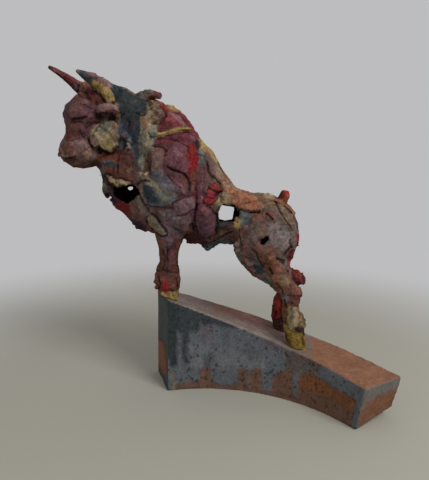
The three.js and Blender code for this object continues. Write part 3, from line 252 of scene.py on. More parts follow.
TRUNK_PATCHES = {
    "mane": ("slate", 0.8, [(108, 83), (120, 84), (130, 90), (135, 96), (140, 92), (146, 93), (148, 104),
        (146, 112), (142, 115), (141, 126), (141, 133), (139, 142), (139, 150), (139, 160), (139, 170),
        (136, 172), (133, 160), (132, 148), (128, 142), (123, 138), (118, 132), (114, 110)]),
    "mane_mid": ("slate_green", 0, [(118, 92), (132, 98), (142, 100), (140, 114), (126, 116), (117, 110)]),
    "mane_deep": ("ink", 0, [(124, 120), (130, 124), (138, 126), (140, 132), (138, 141), (130, 140),
        (125, 132)]),
    "mane_teal": ("slate_blue", 0, [(133, 144), (139, 144), (140, 171), (136, 173), (133, 160)]),
    "mane_left": ("tan", 0.3, [(115, 104), (119, 106), (120, 122), (117, 128), (114, 120)]),
    "mane_top": ("ochre", 0.2, [(122, 85), (130, 89), (135, 95), (130, 93), (123, 90)]),
    "neck": ("neck_pale", 0.5, [(147, 104), (152, 108), (156, 116), (158, 126), (158, 134), (155, 143),
        (152, 150), (148, 155), (145, 160), (144, 168), (140, 171), (139, 160), (140, 150), (140, 140),
        (141, 130), (141, 122), (145, 116), (147, 110)]),
    "neck_tan": ("tan", 0, [(141, 117), (147, 110), (152, 113), (152, 124), (147, 130), (142, 130)]),
    "neck_low": ("stone_green", 0, [(140, 142), (146, 140), (147, 150), (143, 158), (140, 154)]),
    "coils": ("tan", 0.5, [(147, 100), (155, 98), (161, 103), (163, 112), (160, 123), (154, 124),
        (150, 112)]),
    "coils_pink": ("mauve", 0, [(154, 108), (163, 106), (164, 117), (157, 122), (153, 116)]),
    "neck_rust": ("sienna", 0.4, [(144, 158), (148, 155), (151, 160), (151, 172), (147, 175), (145, 166)]),
    "neck_crumbs": ("bone", 0.7, [(139, 174), (148, 172), (149, 178), (141, 180)]),
    "flecks": ("denim", 0, [(117, 134), (127, 132), (133, 140), (133, 154), (121, 154)]),
    "fleck_brown": ("umber", 0, [(122, 134), (127, 136), (127, 146), (121, 146)]),
    "throat_dark": ("denim", 0, [(119, 147), (132, 147), (132, 153), (120, 153)]),
    "throat": ("throat", 0.5, [(119, 152), (128, 151), (133, 153), (134, 160), (137, 168), (138, 176),
        (136, 182), (130, 183), (123, 180), (118, 177), (118, 170), (118, 162)]),
    "throat_top": ("rosewood", 0, [(120, 150), (133, 150), (134, 162), (122, 162)]),
    "throat_blue": ("slate_blue", 0.6, [(101, 162), (106, 159), (112, 160), (116, 163), (117, 168),
        (109, 166), (103, 167), (98, 168)]),
    "throat_tail": ("blue_grey", 0.5, [(97, 167), (103, 167), (105, 170), (104, 174), (100, 175)]),
    "throat_rust": ("ember", 0, [(104, 167), (114, 168), (118, 174), (113, 179), (107, 175)]),
    "collar": ("cream", 1.6, [(106, 174), (110, 176), (115, 180), (120, 179), (125, 181), (130, 181),
        (131, 184), (124, 185), (117, 186), (110, 181)]),
    "rim": ("sage", 0.8, [(102, 183), (108, 184), (109, 191), (104, 193)]),
    "lip_violet": ("violet", 0, [(106, 190), (112, 194), (118, 202), (116, 208), (108, 200)]),
    "lip_red": ("blood", 0.5, [(116, 203), (121, 200), (127, 203), (133, 206), (132, 213), (127, 216),
        (121, 212), (116, 207)]),
    "breast": ("hide", 0.5, [(132, 196), (139, 192), (142, 200), (148, 208), (149, 219), (144, 225),
        (136, 220), (131, 214), (130, 206)]),
    "breast_grey": ("stone", 0, [(138, 196), (143, 200), (147, 208), (148, 216), (141, 212), (138, 204)]),
    "breast_violet": ("aubergine", 0, [(131, 220), (139, 221), (149, 228), (148, 236), (139, 233)]),
    "breast_rust": ("sienna", 0, [(146, 226), (152, 228), (160, 236), (160, 242), (150, 241)]),
    "breast_olive": ("olive", 0, [(153, 238), (159, 238), (159, 252), (154, 252)]),
    "collar_plum": ("wine", 0.4, [(156, 138), (165, 135), (175, 133), (184, 131), (191, 131), (197, 137),
        (199, 143), (194, 147), (189, 145), (183, 142), (175, 139), (168, 138), (163, 144), (155, 146)]),
    "hump": ("plum_red", 1.3, [(161, 121), (166, 116), (166, 111), (174, 111.5), (181, 116), (189, 127),
        (189, 131), (176, 132), (161, 132), (158, 130)]),
    "hump_shade": ("maroon", 0, [(160, 123), (171, 123), (173, 130), (160, 131)]),
    "hump_rim": ("crimson_dull", 0.8, [(175, 111), (182, 113), (189, 119), (194, 127), (198, 136),
        (192, 133), (188, 127), (183, 121)]),
    "hump_top": ("gold", 0.8, [(167, 105), (174, 105), (180, 110), (180, 113), (174, 111), (168, 110)]),
    "hump_spark": ("oxide", 0.4, [(160, 103), (164, 104), (168, 109), (165, 111), (161, 107)]),
    "hump_brown": ("clay", 0.2, [(155, 100), (162, 100), (162, 104), (156, 104)]),
    "blade": ("plum_grey", 0.9, [(166, 151), (172, 144), (178, 142), (187, 146), (189, 155), (191, 165),
        (188, 173), (180, 172), (172, 169), (167, 165), (164, 158)]),
    "edge": ("mauve", 0.5, [(150, 157), (153, 148), (158, 147), (164, 150), (164, 158), (165, 166),
        (169, 176), (174, 182), (168, 184), (160, 178), (151, 175), (150, 165)]),
    "red_band": ("blood", 0.5, [(188, 144), (195, 145), (197, 153), (199, 159), (198, 166), (195, 171),
        (190, 177), (187, 173), (188.5, 164), (184.5, 156), (186, 151)]),
    "under_blade": ("violet_rose", 0.3, [(165, 166), (170, 172), (178, 175), (184, 179), (188, 187),
        (188, 196), (178, 193), (172, 184), (167, 176)]),
    "edge_blue": ("blue_grey", 0, [(150, 172), (161, 172), (171, 181), (178, 190), (177, 201), (168, 206),
        (156, 205), (150, 190)]),
    "arm": ("blue_grey", 0.9, [(141, 184), (147, 181), (155, 182), (165, 185), (172, 190), (176, 196),
        (174, 203), (166, 206), (160, 207), (151, 206), (144, 200), (140, 192)]),
    "arm_slate": ("slate_blue", 0, [(141, 183), (147, 184), (152, 188), (157, 193), (160, 198), (158, 204),
        (150, 203), (144, 196)]),
    "arm_streak": ("ochre", 0, [(146, 178), (152, 180), (159, 186), (163, 191), (159, 192), (153, 187),
        (146, 182)]),
    "arm_rim": ("tan", 0.2, [(139, 183), (141, 184), (143, 193), (148, 203), (146, 204), (140, 194)]),
    "arm_green": ("stone_green", 0, [(160, 192), (170, 191), (174, 197), (166, 202), (158, 200)]),
    "slate_patch": ("teal_grey", 0.4, [(197, 150), (201, 150), (204, 155), (206, 160), (205, 164),
        (201, 166), (198, 161)]),
    "slate_nick": ("ink", 0, [(195, 140), (199, 142), (199, 150), (196, 149)]),
    "yellow_back": ("gold", 0.8, [(199, 139), (204, 142), (211, 147), (216, 154), (219, 164), (214, 161),
        (207, 153), (201, 147)]),
    "back_strip": ("mauve", 0.4, [(201, 149), (207, 152), (212, 158), (215, 165), (218, 174), (222, 184),
        (216, 181), (211, 176), (208, 170), (206, 163), (204, 157)]),
    "rib_orange": ("ember", 0, [(191, 173), (195, 170), (199, 172), (199, 186), (192, 186)]),
    "rib_pink": ("plum_grey", 0.2, [(199, 163), (204, 163), (206, 182), (205, 200), (199, 206),
        (198, 182)]),
    "rib_mauve": ("hide", 0, [(204, 164), (208, 168), (213, 178), (213, 186), (208, 190), (205, 186)]),
    "red_torn": ("crimson", 1.5, [(210, 187), (214, 184), (220, 188), (222, 191), (216, 194), (216, 199),
        (211, 203), (206, 206), (204, 203), (206, 196)]),
    "oval": ("violet_rose", 1.4, [(197, 206), (203, 204), (210, 208), (216, 217), (217, 227), (214, 234),
        (209, 238), (201, 236), (196, 230), (195, 218)]),
    "oval_low": ("violet", 0, [(199, 222), (212, 220), (213, 232), (206, 236), (200, 232)]),
    "rib_plum": ("wine", 0, [(193, 190), (200, 192), (199, 213), (194, 213)]),
    "rib_brown": ("russet", 0, [(182, 226), (190, 225), (191, 234), (184, 242)]),
    "mid_arm": ("mid_mauve", 0.9, [(174, 204), (182, 199), (192, 196), (195, 204), (194, 210), (188, 214),
        (181, 216), (174, 213)]),
    "low_arm": ("low_mauve", 0.4, [(158, 212), (172, 210), (180, 216), (190, 214), (192, 222), (187, 229),
        (182, 237), (178, 242), (172, 244), (166, 241), (162, 233), (159, 225)]),
    "low_arm_grey": ("low_grey", 0, [(160, 212), (170, 211), (178, 218), (180, 228), (170, 232),
        (162, 226)]),
    "tongue": ("khaki", 1.4, [(147, 219), (150, 215.6), (154, 217), (159, 224), (166, 232), (166, 235),
        (162.5, 235.6), (156, 230), (149, 224)]),
    "flank_slate": ("slate", 0, [(216, 219), (224, 222), (232, 222), (231, 229), (222, 231), (214, 228)]),
    "flank_left": ("umber", 0, [(213, 204), (219, 202), (219, 215), (214, 213)]),
    "window_rim": ("cream", 1, [(215, 204), (218, 199), (222, 193), (228, 193), (233, 199), (236, 204),
        (228, 205), (222, 205)]),
    "window_rim_pale": ("bone", 0.2, [(221, 194), (230, 194), (231, 200), (222, 200)]),
    "flank_right": ("slate_green", 0, [(231, 203), (238, 203), (238, 212), (231, 211)]),
    "flank_wine": ("wine", 0, [(230, 214), (236, 213), (236, 222), (231, 223)]),
    "flank_grey": ("ash", 0.3, [(237, 205), (243, 207), (243, 212), (237, 211)]),
    "flank_ochre": ("gold", 0.4, [(236, 214), (240, 214), (239, 221), (241, 229), (234, 228), (235, 222)]),
    "rust_strap": ("sienna", 0.8, [(204, 239), (212, 238), (220, 232), (228, 227), (236, 225), (236, 229),
        (226, 234), (218, 240), (208, 243)]),
    "belly_violet": ("hide", 0, [(223, 231), (232, 230), (236, 234), (232, 242), (224, 239)]),
    "belly_mauve": ("mauve", 0.2, [(232, 228), (241, 228), (243, 243), (235, 244)]),
    "belly_tip": ("teal_grey", 0.5, [(202, 246), (208, 242), (214, 239), (220, 237), (228, 240), (234, 246),
        (226, 245), (219, 244), (213, 250), (209, 254), (204, 251)]),
    # belly_plum: dark plum clay, painted darker still as the shade under the belly
    "belly_plum": ("umber_red", 0, [(184, 236), (192, 232), (204, 238), (208, 243), (204, 248),
        (186, 246)]),
    "back_strap": ("strap_clay", 1.2, [(222, 180), (231, 187), (243, 191), (249, 192), (259, 197),
        (262, 203), (261, 209), (251, 211), (241, 209), (233, 203), (227, 194), (222, 187)]),
    "back_pale": ("peach", 0, [(214, 165), (219, 172), (226, 182), (232, 187), (229, 189), (221, 184),
        (216, 176)]),
    "rump_tan": ("tan", 0.3, [(246, 192), (258, 192), (266, 197), (274, 201), (279, 209), (270, 208),
        (262, 206), (262, 201), (256, 196)]),
    "rump_top": ("bone", 0.4, [(264, 193), (272, 193), (274, 197), (267, 199)]),
    "rump": ("stone_pink", 0.5, [(252, 214), (262, 209), (270, 207), (277, 211), (284, 217), (291, 227),
        (296, 237), (295, 246), (290, 251), (285, 257), (276, 257), (268, 251), (262, 250), (255, 244),
        (250, 234), (249, 222)]),
    "rump_grey": ("teal_grey", 0, [(240, 213), (251, 213), (252, 224), (244, 226)]),
    "rump_orange": ("russet", 0, [(252, 212), (262, 211), (270, 211), (275, 214), (274, 219), (264, 217),
        (256, 222), (252, 222)]),
    "rump_pale": ("ash_pink", 0.2, [(268, 224), (280, 224), (290, 234), (292, 244), (282, 252), (272, 246),
        (269, 236)]),
    "rump_ridge": ("tan", 0.3, [(277, 202), (284, 208), (292, 218), (297, 228), (293, 227), (286, 219),
        (279, 210)]),
    "rump_red": ("blood", 0.5, [(298, 232), (302, 234), (303, 246), (300, 250), (298, 243)]),
    "rump_foot": ("maroon", 0, [(289, 250), (296, 249), (295, 259), (288, 261)]),
}
TRUNK_DABS = {
    "neck_bone": ("bone", 1.4, [(147, 119), (149, 126)]),
    "neck_clay": ("clay", 1.6, [(144, 122), (146, 127)]),
    "neck_cream": ("cream", 1.6, [(150, 136), (147, 146)]),
    "neck_bone_next": ("bone", 1.2, [(151, 112), (150, 117)]),
    "neck_slate": ("slate", 1.4, [(142, 112), (146, 113)]),
    "coil_bone": ("bone", 1, [(149, 102), (154, 104)]),
    "coil_peach": ("peach", 1, [(152, 107), (156, 108)]),
    "coil_rosewood": ("rosewood", 1, [(156, 112), (160, 110)]),
    "coil_cream": ("cream", 0.9, [(152, 114), (157, 117)]),
    "coil_soot": ("soot", 0.9, [(148, 99), (152, 98)]),
    # Painted shade and highlight: coil_web darkens the grooves between the coils, and coil_pale lays a
    # painted highlight along their tops
    "coil_web": ("soot", 0.7, [(149, 103), (153, 106), (151, 111), (157, 110), (154, 116), (160, 115),
        (156, 122)]),
    "coil_pale": ("cream", 0.6, [(151, 101), (156, 104), (154, 109), (160, 112), (157, 118)]),
    # Painted shade: crumb_gap darkens the gap between the crumbs
    "crumb_gap": ("soot", 0.7, [(140, 179), (143, 175), (146, 178), (149, 174)]),
    "rump_spur": ("scarlet", 1.2, [(299, 238), (301, 246)]),
    "neck_rust": ("soot", 1.3, [(148, 161), (149, 170)]),
    "throat_shade": ("soot", 1.4, [(119, 151), (119, 160)]),
    # Painted shade: crest_hollow darkens the hollow by the crest
    "crest_hollow": ("soot", 1.5, [(147.5, 95), (148, 100), (150, 103)]),
    "mane_ink": ("ink", 2.4, [(118, 92), (120, 98)]),
    "mane_ink_next": ("ink", 1.6, [(129, 118), (132, 124)]),
    "mane_slate": ("slate", 2, [(136, 98), (140, 98)]),
    "throat_peach": ("peach", 1.4, [(129, 171), (132, 168)]),
    "throat_rosewood": ("rosewood", 2, [(121, 172), (124, 177)]),
    "throat_teal_grey": ("teal_grey", 1.4, [(135, 174), (138, 180)]),
    "fleck_bone": ("bone", 1, [(126, 143), (128, 145)]),
    "fleck_bone_next": ("bone", 0.9, [(129, 147), (131, 149)]),
    "fleck_bone_third": ("bone", 0.9, [(130, 140), (131, 142)]),
    "fleck_soot": ("soot", 1.1, [(122, 146), (125, 149)]),
    "fleck_soot_next": ("soot", 1, [(128, 151), (131, 150)]),
    "blue_grey": ("blue_grey", 1, [(104, 162), (109, 161)]),
    "blue_teal": ("teal", 1.2, [(110, 164), (115, 166)]), "collar": ("bone", 1.6, [(118, 182), (123, 182)]),
    "hump_rose": ("rose", 2.2, [(174, 117), (179, 121)]),
    "hump_mauve": ("mauve", 1.6, [(168, 114), (172, 115)]),
    "hump_pink": ("pink", 1.2, [(180, 124), (185, 128)]),
    "rim_oxide": ("oxide", 1.2, [(183, 117), (187, 122)]),
    "band_plum_red": ("plum_red", 1.8, [(162, 141), (172, 140)]),
    "band_mauve": ("mauve", 1.4, [(190, 137), (194, 141)]),
    "blade_rose": ("rose", 2.4, [(176, 150), (180, 156)]),
    "blade_plum": ("plum", 2.2, [(182, 164), (186, 168)]),
    "blade_mauve": ("mauve", 1.8, [(170, 158), (172, 164)]),
    "red_scarlet": ("scarlet", 2, [(191, 150), (194, 160), (193, 168)]),
    "edge_stone": ("stone", 2.2, [(155, 158), (157, 166)]),
    "edge_violet_rose": ("violet_rose", 2, [(162, 166), (166, 176)]),
    "edge_hide": ("hide", 1.6, [(151, 154), (157, 151)]),
    "under_plum": ("plum", 2, [(172, 178), (180, 186)]),
    "under_mauve": ("mauve", 2, [(182, 186), (184, 192)]),
    "under_slate_violet": ("slate_violet", 2.2, [(170, 188), (178, 194)]),
    "arm_sage": ("sage", 1.3, [(165, 195), (172, 193)]), "arm_ink": ("ink", 1.8, [(146, 189), (150, 196)]),
    "arm_stone": ("stone", 1.6, [(160, 187), (166, 190)]),
    "rib_bone": ("bone", 1, [(201, 196), (202, 198)]),
    "rib_aubergine": ("aubergine", 1.2, [(203, 168), (204, 196)]),
    "rib_mauve": ("mauve", 1.2, [(201, 168), (202, 190)]),
    "rib_umber": ("umber", 1.2, [(196, 180), (196, 190)]),
    "low_cream": ("cream", 0.9, [(158, 211), (163, 215)]),
    "low_blue_grey": ("blue_grey", 2, [(166, 240), (170, 245)]),
    "low_plum": ("plum", 2.2, [(166, 220), (172, 226)]),
    "low_wine": ("wine", 1.6, [(172, 236), (178, 240)]),
    "oval_plum": ("plum", 2.4, [(202, 209), (207, 212)]),
    "oval_rosewood": ("rosewood", 2, [(212, 222), (213, 230)]),
    # Painted shade: torn_soot and torn_soot_next darken the cracks and the shade along the torn red scrap
    "torn_soot": ("soot", 1.4, [(211, 190), (215, 192), (214, 196)]),
    "torn_soot_next": ("soot", 1, [(203, 201), (204, 204)]),
    "torn_scarlet": ("scarlet", 1.2, [(208, 198), (210, 200)]),
    "win_straw": ("straw", 1.2, [(223, 197), (228, 196)]),
    "win_soot": ("soot", 0.9, [(220, 198), (222, 202)]), "win_tan": ("tan", 1.2, [(217, 204), (215, 210)]),
    "strap_peach": ("peach", 2, [(228, 184), (238, 190)]),
    "strap_brick": ("brick", 2.6, [(245, 200), (254, 205)]),
    "strap_sienna": ("sienna", 2, [(232, 196), (240, 204)]),
    # Painted shade: rump_soot darkens the rump_mark crack
    "rump_soot": ("soot", 1.2, [(266, 213), (270, 217), (272, 220)]),
    "rump_ash": ("ash", 2.2, [(282, 228), (288, 238)]), "rump_tan": ("tan", 2.2, [(257, 226), (262, 234)]),
    "rump_brick": ("brick", 2, [(270, 248), (276, 252)]),
    "rump_rosewood": ("rosewood", 2, [(258, 240), (262, 246)]),
    "rump_mauve": ("mauve", 2.2, [(262, 222), (266, 230)]),
    # Painted shade: hole and hole_soot are near-black dabs for the dark inside a hole, over a shallow dip
    "hole": ("coal", 1.9, [(263, 243), (267, 238.5)]), "hole_soot": ("soot", 1, [(259, 239), (262, 238)]),
    "knot_coal": ("coal", 1.3, [(289, 242), (291, 247)]),
    "knot_coal_next": ("coal", 1.2, [(287, 250), (285, 254)]),
    "belly_sienna": ("sienna", 1.6, [(235, 236), (238, 240)]),
    "belly_straw": ("straw", 0.9, [(239, 232), (239, 240)]),
}
TRUNK_SWELLS = {
    "edge": (7, 2.2, [(156, 156), (160, 170), (170, 187)]), "blade": (8, 2.2, [(178, 152), (180, 163)]),
    "under_blade": (5, 1, [(172, 176), (181, 188)]), "arm": (8, 2.6, [(150, 193), (164, 199)]),
    "arm_foot": (3.2, -2, [(144, 208), (158, 211), (172, 210)]),
    "mid_arm": (5, 1.8, [(181, 208), (188, 204)]), "low_arm": (7, 1.4, [(168, 222), (182, 222)]),
    "oval": (6, 2.8, [(204, 214), (206, 230)]), "hump": (6, 1.4, [(170, 120), (182, 124)]),
    "plum": (5, 0.8, [(164, 138), (188, 138)]), "neck": (5, 1.4, [(150, 120), (149, 146)]),
    "mane": (5, 1.4, [(124, 92), (130, 112), (134, 132)]), "behind_edge": (3, -2, [(146, 158), (148, 172)]),
    "under_oval": (4, -1.8, [(190, 228), (196, 238), (206, 243)]),
    "red": (4, 1.6, [(208, 200), (215, 190)]), "ribs": (2, 0.9, [(201, 168), (202, 198)]),
    "rib_dip": (1.6, -0.9, [(196, 180), (196, 206)]),
    "rump_side": (9, -3.6, [(290, 208), (300, 222), (302, 240), (294, 262)]),
    "rump_over": (7, -1.6, [(240, 186), (262, 190), (280, 196)]),
    "hole": (2, -3, [(263, 243), (267, 238.5)]), "neck_front": (5, -4, [(97, 171), (99, 176), (100, 183)]),
    "chest": (5, 2.6, [(99, 186), (106, 198)]), "chest_low": (4, -4.4, [(118, 216), (126, 224)]),
    "rump_pale": (6, 1.4, [(278, 232), (284, 242)]), "strap": (4, 1, [(234, 194), (254, 203)]),
    "strap_dip": (2.4, -1.6, [(246, 213), (258, 212)]),
}
TRUNK_CRACKS = {
    "mane": (0.8, 1.4, [(136, 113), (141, 116), (145, 115), (147, 110)]),
    "mane_fold": (0.9, 1, [(126, 119), (129, 123), (129, 128)]),
    "mane_front": (0.9, 1.2, [(122, 138), (126, 142), (124, 148), (120, 152)]),
    "neck": (0.8, 1.2, [(151, 158), (150.5, 166), (150, 175)]),
    "neck_left": (0.8, 1.2, [(140, 178), (143, 173), (146, 172)]),
    "hump_foot": (0.6, 1, [(158, 138), (166, 136), (176, 134.5), (186, 133), (196, 133)]),
    "hump_side": (1, 1.8, [(160, 106), (163, 109), (166, 112), (166, 117)]),
    "hump_left": (0.8, 1.4, [(166, 117), (161, 123.6), (157, 124), (153, 124)]),
    "hump_top": (0.8, 1.2, [(174, 112), (179, 116), (183, 121), (189, 127)]),
    "arc": (0.6, 1.2, [(158, 139.3), (168, 139.3), (177, 141.4), (185, 146), (189, 148)]),
    "blade_left": (0.8, 1.5, [(153, 146.5), (158.6, 146.4), (163.6, 148.6), (166.4, 151.4)]),
    "blade_top": (0.45, 0.8, [(172, 144.3), (169, 148), (167, 151.4)]),
    "blade_side": (0.55, 1.2, [(166.4, 151.4), (163.6, 157), (163.6, 164.3), (166.4, 173), (170.7, 178.6),
        (177, 185), (181, 188)]),
    "crescent": (0.9, 2.4, [(168, 167), (171.4, 169.3), (178.6, 172), (184.3, 174.3), (188.6, 178.6),
        (190, 183), (189.3, 190), (190, 193)]),
    "crescent_fat": (1.3, 2, [(184, 175), (188.4, 179), (189.5, 183)]),
    "band": (0.5, 0.6, [(188, 146), (187, 152)]),
    "arm_top": (0.9, 2, [(136, 186), (140, 181.5), (144, 180), (149, 181.5)]),
    "arm_foot": (0.7, 1.6, [(144, 203), (151.4, 206.4), (160, 207.5), (173, 208.6)]),
    "mid_top": (0.7, 1.6, [(172, 204), (178, 201), (184, 198), (193, 195)]),
    "mid_foot": (0.7, 1.3, [(175.7, 215.7), (183, 215.7), (190, 211.4), (194, 210)]),
    "mid_side": (0.8, 1.4, [(195.7, 188), (196.4, 198), (195.7, 208.6)]),
    "rib_top": (1, 1.4, [(196, 142), (198, 149)]), "rib_nick": (0.8, 1, [(197, 154), (201, 156)]),
    "strip": (1.4, 2.8, [(205, 157), (207.9, 163), (208.6, 170), (211.4, 175.7), (216.4, 180),
        (220, 183.6)]),
    "slot": (1.2, 2.6, [(192, 224), (193, 228), (194, 232)]),
    "oval": (0.8, 1.8, [(197, 205), (194.5, 214), (195, 225), (198, 233), (204, 237.5), (210, 238.5)]),
    "oval_right": (0.8, 1.4, [(210, 207), (216, 214), (217.5, 224), (215, 234)]),
    "breast": (0.9, 1.8, [(138, 190), (141, 198), (145, 206), (149, 213), (154, 216), (160, 223),
        (167, 232)]),
    "tongue": (0.9, 1.4, [(147, 221), (150, 226), (156, 232), (162, 237), (167, 235)]),
    "low_arm_back": (0.9, 1.4, [(182, 241), (187, 234), (190, 226)]),
    "throat": (0.9, 1.4, [(118, 156), (117, 162), (118, 172), (119, 180)]),
    "collar": (0.9, 1.2, [(106, 173), (111, 176), (115, 179), (120, 178), (126, 180)]),
    "hollow": (1.4, 1, [(108, 184), (114, 188), (122, 188), (130, 186), (138, 184)]),
    "strap_foot": (0.9, 1.8, [(234, 205), (241, 210), (250, 212.5), (259, 210.5)]),
    "rump_arc": (0.9, 1.6, [(275, 201), (278, 207), (280.7, 213), (285, 218), (288.6, 223), (293.6, 230)]),
    "rump_mark": (1, 1.6, [(266, 213), (270, 217), (273, 220)]),
    "hole": (1.6, 1.6, [(263, 243), (267, 238.5)]),
    "rump_knot": (0.9, 1.8, [(290, 240), (291.5, 247), (288, 250.5), (285.5, 254)]),
    "rump_deep": (1.3, 2, [(277, 259), (284, 262)]),
    "belly": (0.8, 1.2, [(208, 243), (216, 240), (224, 236), (232, 232)]),
    "belly_back": (0.8, 1.2, [(240, 228), (239, 236), (242, 246)]),
    "red": (0.8, 1.4, [(222, 191), (217, 193.5), (216, 199)]),
    "torn_top": (0.8, 1.6, [(209, 188), (213, 191), (219, 193)]),
    "torn_low": (0.7, 1.4, [(206, 197), (211, 199), (216, 198)]),
}
THIGH_PATCHES = {
    "front": ("hide", 0.2, [(238, 226), (250, 228), (262, 240), (272, 252), (270, 262), (256, 266),
        (246, 258), (238, 246)]),
    "gaskin": ("sienna", 0.6, [(262, 254), (270, 252), (277, 258), (281, 266), (281, 276), (273, 280),
        (265, 272), (260, 264)]),
    "tan": ("russet", 0, [(255, 243), (262, 246), (268, 252), (262, 258), (256, 252)]),
    "slate": ("slate_blue", 0.2, [(252, 266), (260, 266), (265, 271), (262, 275), (254, 271)]),
    "rim": ("rosewood", 0.7, [(243, 255), (248, 262), (252, 268), (258, 274), (266, 277), (266, 281),
        (256, 279), (248, 270), (242, 260)]),
    "hock": ("russet", 0.5, [(271, 278), (276, 268), (283, 266), (290, 271), (297, 283), (303, 290),
        (301, 302), (290, 307), (282, 300), (275, 290)]),
    "hock_tan": ("tan", 0, [(276, 276), (284, 272), (290, 280), (286, 288), (279, 286)]),
    "foot": ("maroon", 0, [(287, 249), (297, 249), (297, 262), (288, 262)]),
}
THIGH_DABS = {
    "red": ("oxide", 1.6, [(289, 263), (291, 268)]),
    "mauve_stone": ("stone", 2.2, [(248, 240), (254, 250)]),
    "brick": ("clay", 2.2, [(272, 256), (276, 262)]), "blue": ("teal_grey", 2, [(250, 256), (256, 262)]),
    # Painted shade: soot, soot_next and soot_third darken the gaskin and front cracks
    "pale": ("peach", 1.6, [(284, 276), (288, 282)]), "soot": ("soot", 1.6, [(270, 269), (273, 273)]),
    "soot_next": ("soot", 1, [(251, 248), (255, 252)]), "soot_third": ("soot", 1, [(262, 262), (266, 264)]),
    "mauve": ("mauve", 2, [(288, 290), (294, 298)]), "orange": ("clay", 2, [(274, 280), (280, 284)]),
}
THIGH_SWELLS = {
    "rim": (2.4, 1, [(246, 262), (254, 273), (264, 279)]), "dip": (3.4, -1.8, [(252, 262), (260, 269)]),
    "groove": (3, 1.4, [(246, 228), (252, 241), (262, 252), (272, 261)]),
    "gaskin": (5, 1.4, [(268, 260), (276, 268)]), "hock": (4, 1.2, [(292, 290), (298, 296)]),
}
THIGH_CRACKS = {
    "back": (1, 1.8, [(277, 259), (280, 262), (284, 264)]), "gaskin": (1.3, 1.8, [(270, 269), (272, 273)]),
    "front": (0.7, 1.2, [(250, 247), (256, 252), (258, 260), (264, 268)]),
    "hock": (0.8, 1.2, [(286, 268), (291, 276), (297, 284), (302, 288)]),
    "shin": (0.7, 1, [(276, 284), (282, 290), (284, 298)]),
}
FAR_LEG_PATCHES = {
    "top": ("maroon", 0, [(264, 284), (290, 284), (290, 300), (264, 298)]),
    "red": ("blood", 0.6, [(266, 297), (286, 297), (286, 319), (276, 322), (268, 318)]),
    "red_mid": ("oxide", 0.3, [(275, 301), (280, 300), (281, 312), (276, 312)]),
    "dark": ("umber_red", 0, [(264, 319), (272, 321), (280, 317), (290, 320), (290, 328), (264, 328)]),
    "foot": ("umber", 0, [(264, 324), (290, 324), (290, 340), (264, 340)]),
}
CANNON_PATCHES = {
    "grey": ("ash", 0.3, [(280, 294), (289, 294), (289, 301), (281, 302)]),
    "top": ("rosewood", 0.4, [(288, 284), (306, 290), (306, 304), (289, 303)]),
    "cream": ("cream", 0.4, [(286, 307), (304, 306), (305, 329), (287, 330)]),
    "tan": ("tan", 0.2, [(294, 306), (304, 305), (304, 318), (296, 318)]),
}
CANNON_CRACKS = {
    "side": (0.8, 1, [(284, 300), (287, 308), (286, 318), (284, 328)]),
    "fold": (0.7, 0.8, [(290, 302), (296, 306), (302, 305)]),
}
HIND_HOOF_PATCHES = {
    "cream": ("cream", 0.3, [(284, 318), (306, 318), (306, 330), (286, 331)]),
    "yellow": ("yellow", 0.4, [(279, 328), (294, 329), (303, 333), (309, 345), (308, 354), (286, 354),
        (282, 340)]),
    "dark": ("soot", 0, [(294, 326), (305, 326), (306, 334), (296, 334)]),
    # Painted shadow: heel is the hoof's shaded back, laid in a near-black tone
    "heel": ("coal", 0, [(303, 329), (309, 329), (309, 335), (303, 335)]),
    "toe": ("olive", 0, [(280, 338), (285, 343), (292, 352), (286, 353), (280, 346)]),
}
FORELEG_PATCHES = {
    "grey": ("slate_violet", 0, [(160, 238), (170, 240), (168, 252), (163, 254)]),
    "olive": ("olive", 0, [(153, 238), (159, 238), (159, 252), (154, 252)]),
    "rust": ("sienna", 0, [(158, 238), (164, 240), (163, 276), (158, 274)]),
    "plum": ("plum_shade", 0, [(166, 250), (172, 244), (180, 241), (184, 246), (180, 270), (164, 270)]),
    "plum_mid": ("plum", 0, [(166, 252), (174, 250), (176, 262), (168, 266)]),
    "fetlock": ("ember", 0.5, [(153, 272), (163, 272), (164, 291), (154, 291)]),
    "brown": ("ember", 0.3, [(171, 274), (182, 274), (182, 293), (172, 292)]),
    "mauve": ("rosewood", 0, [(161, 266), (172, 266), (172, 282), (162, 282)]),
    "rust_back": ("sienna", 0, [(176, 240), (184, 240), (182, 262), (177, 270), (175, 258)]),
    "red": ("scarlet_spot", 0.4, [(165.5, 279), (169, 284), (169.5, 289), (166.5, 293), (163, 291),
        (161.5, 287), (163, 282)]),
}
FORELEG_CRACKS = {
    "side": (0.8, 1, [(167, 248), (168, 262), (166, 276)]),
    "fetlock": (0.8, 1, [(155, 272), (162, 270), (170, 272), (180, 273)]),
    "bruise": (1.2, 0.8, [(165, 256), (168, 262)]),
    "heel": (0.8, 1.4, [(158, 276), (160, 284), (158, 290)]),
    "cord": (0.9, 1.2, [(161, 272), (164, 266), (163, 250)]), "back": (0.8, 1, [(176, 278), (178, 288)]),
}
FORE_HOOF_DABS = {
    "soot": ("soot", 0.9, [(160, 291), (161, 295)]), "sienna": ("sienna", 1, [(166, 297), (169, 297)]),
    "olive": ("olive", 1, [(172, 290), (174, 295)]), "bone": ("bone", 1, [(163, 293), (164, 296)]),
    "gold": ("gold", 1.2, [(170, 290), (171, 294)]), "soot_next": ("soot", 0.8, [(167, 292), (168, 295)]),
    "sienna_next": ("sienna", 1, [(176, 286), (177, 292)]),
}
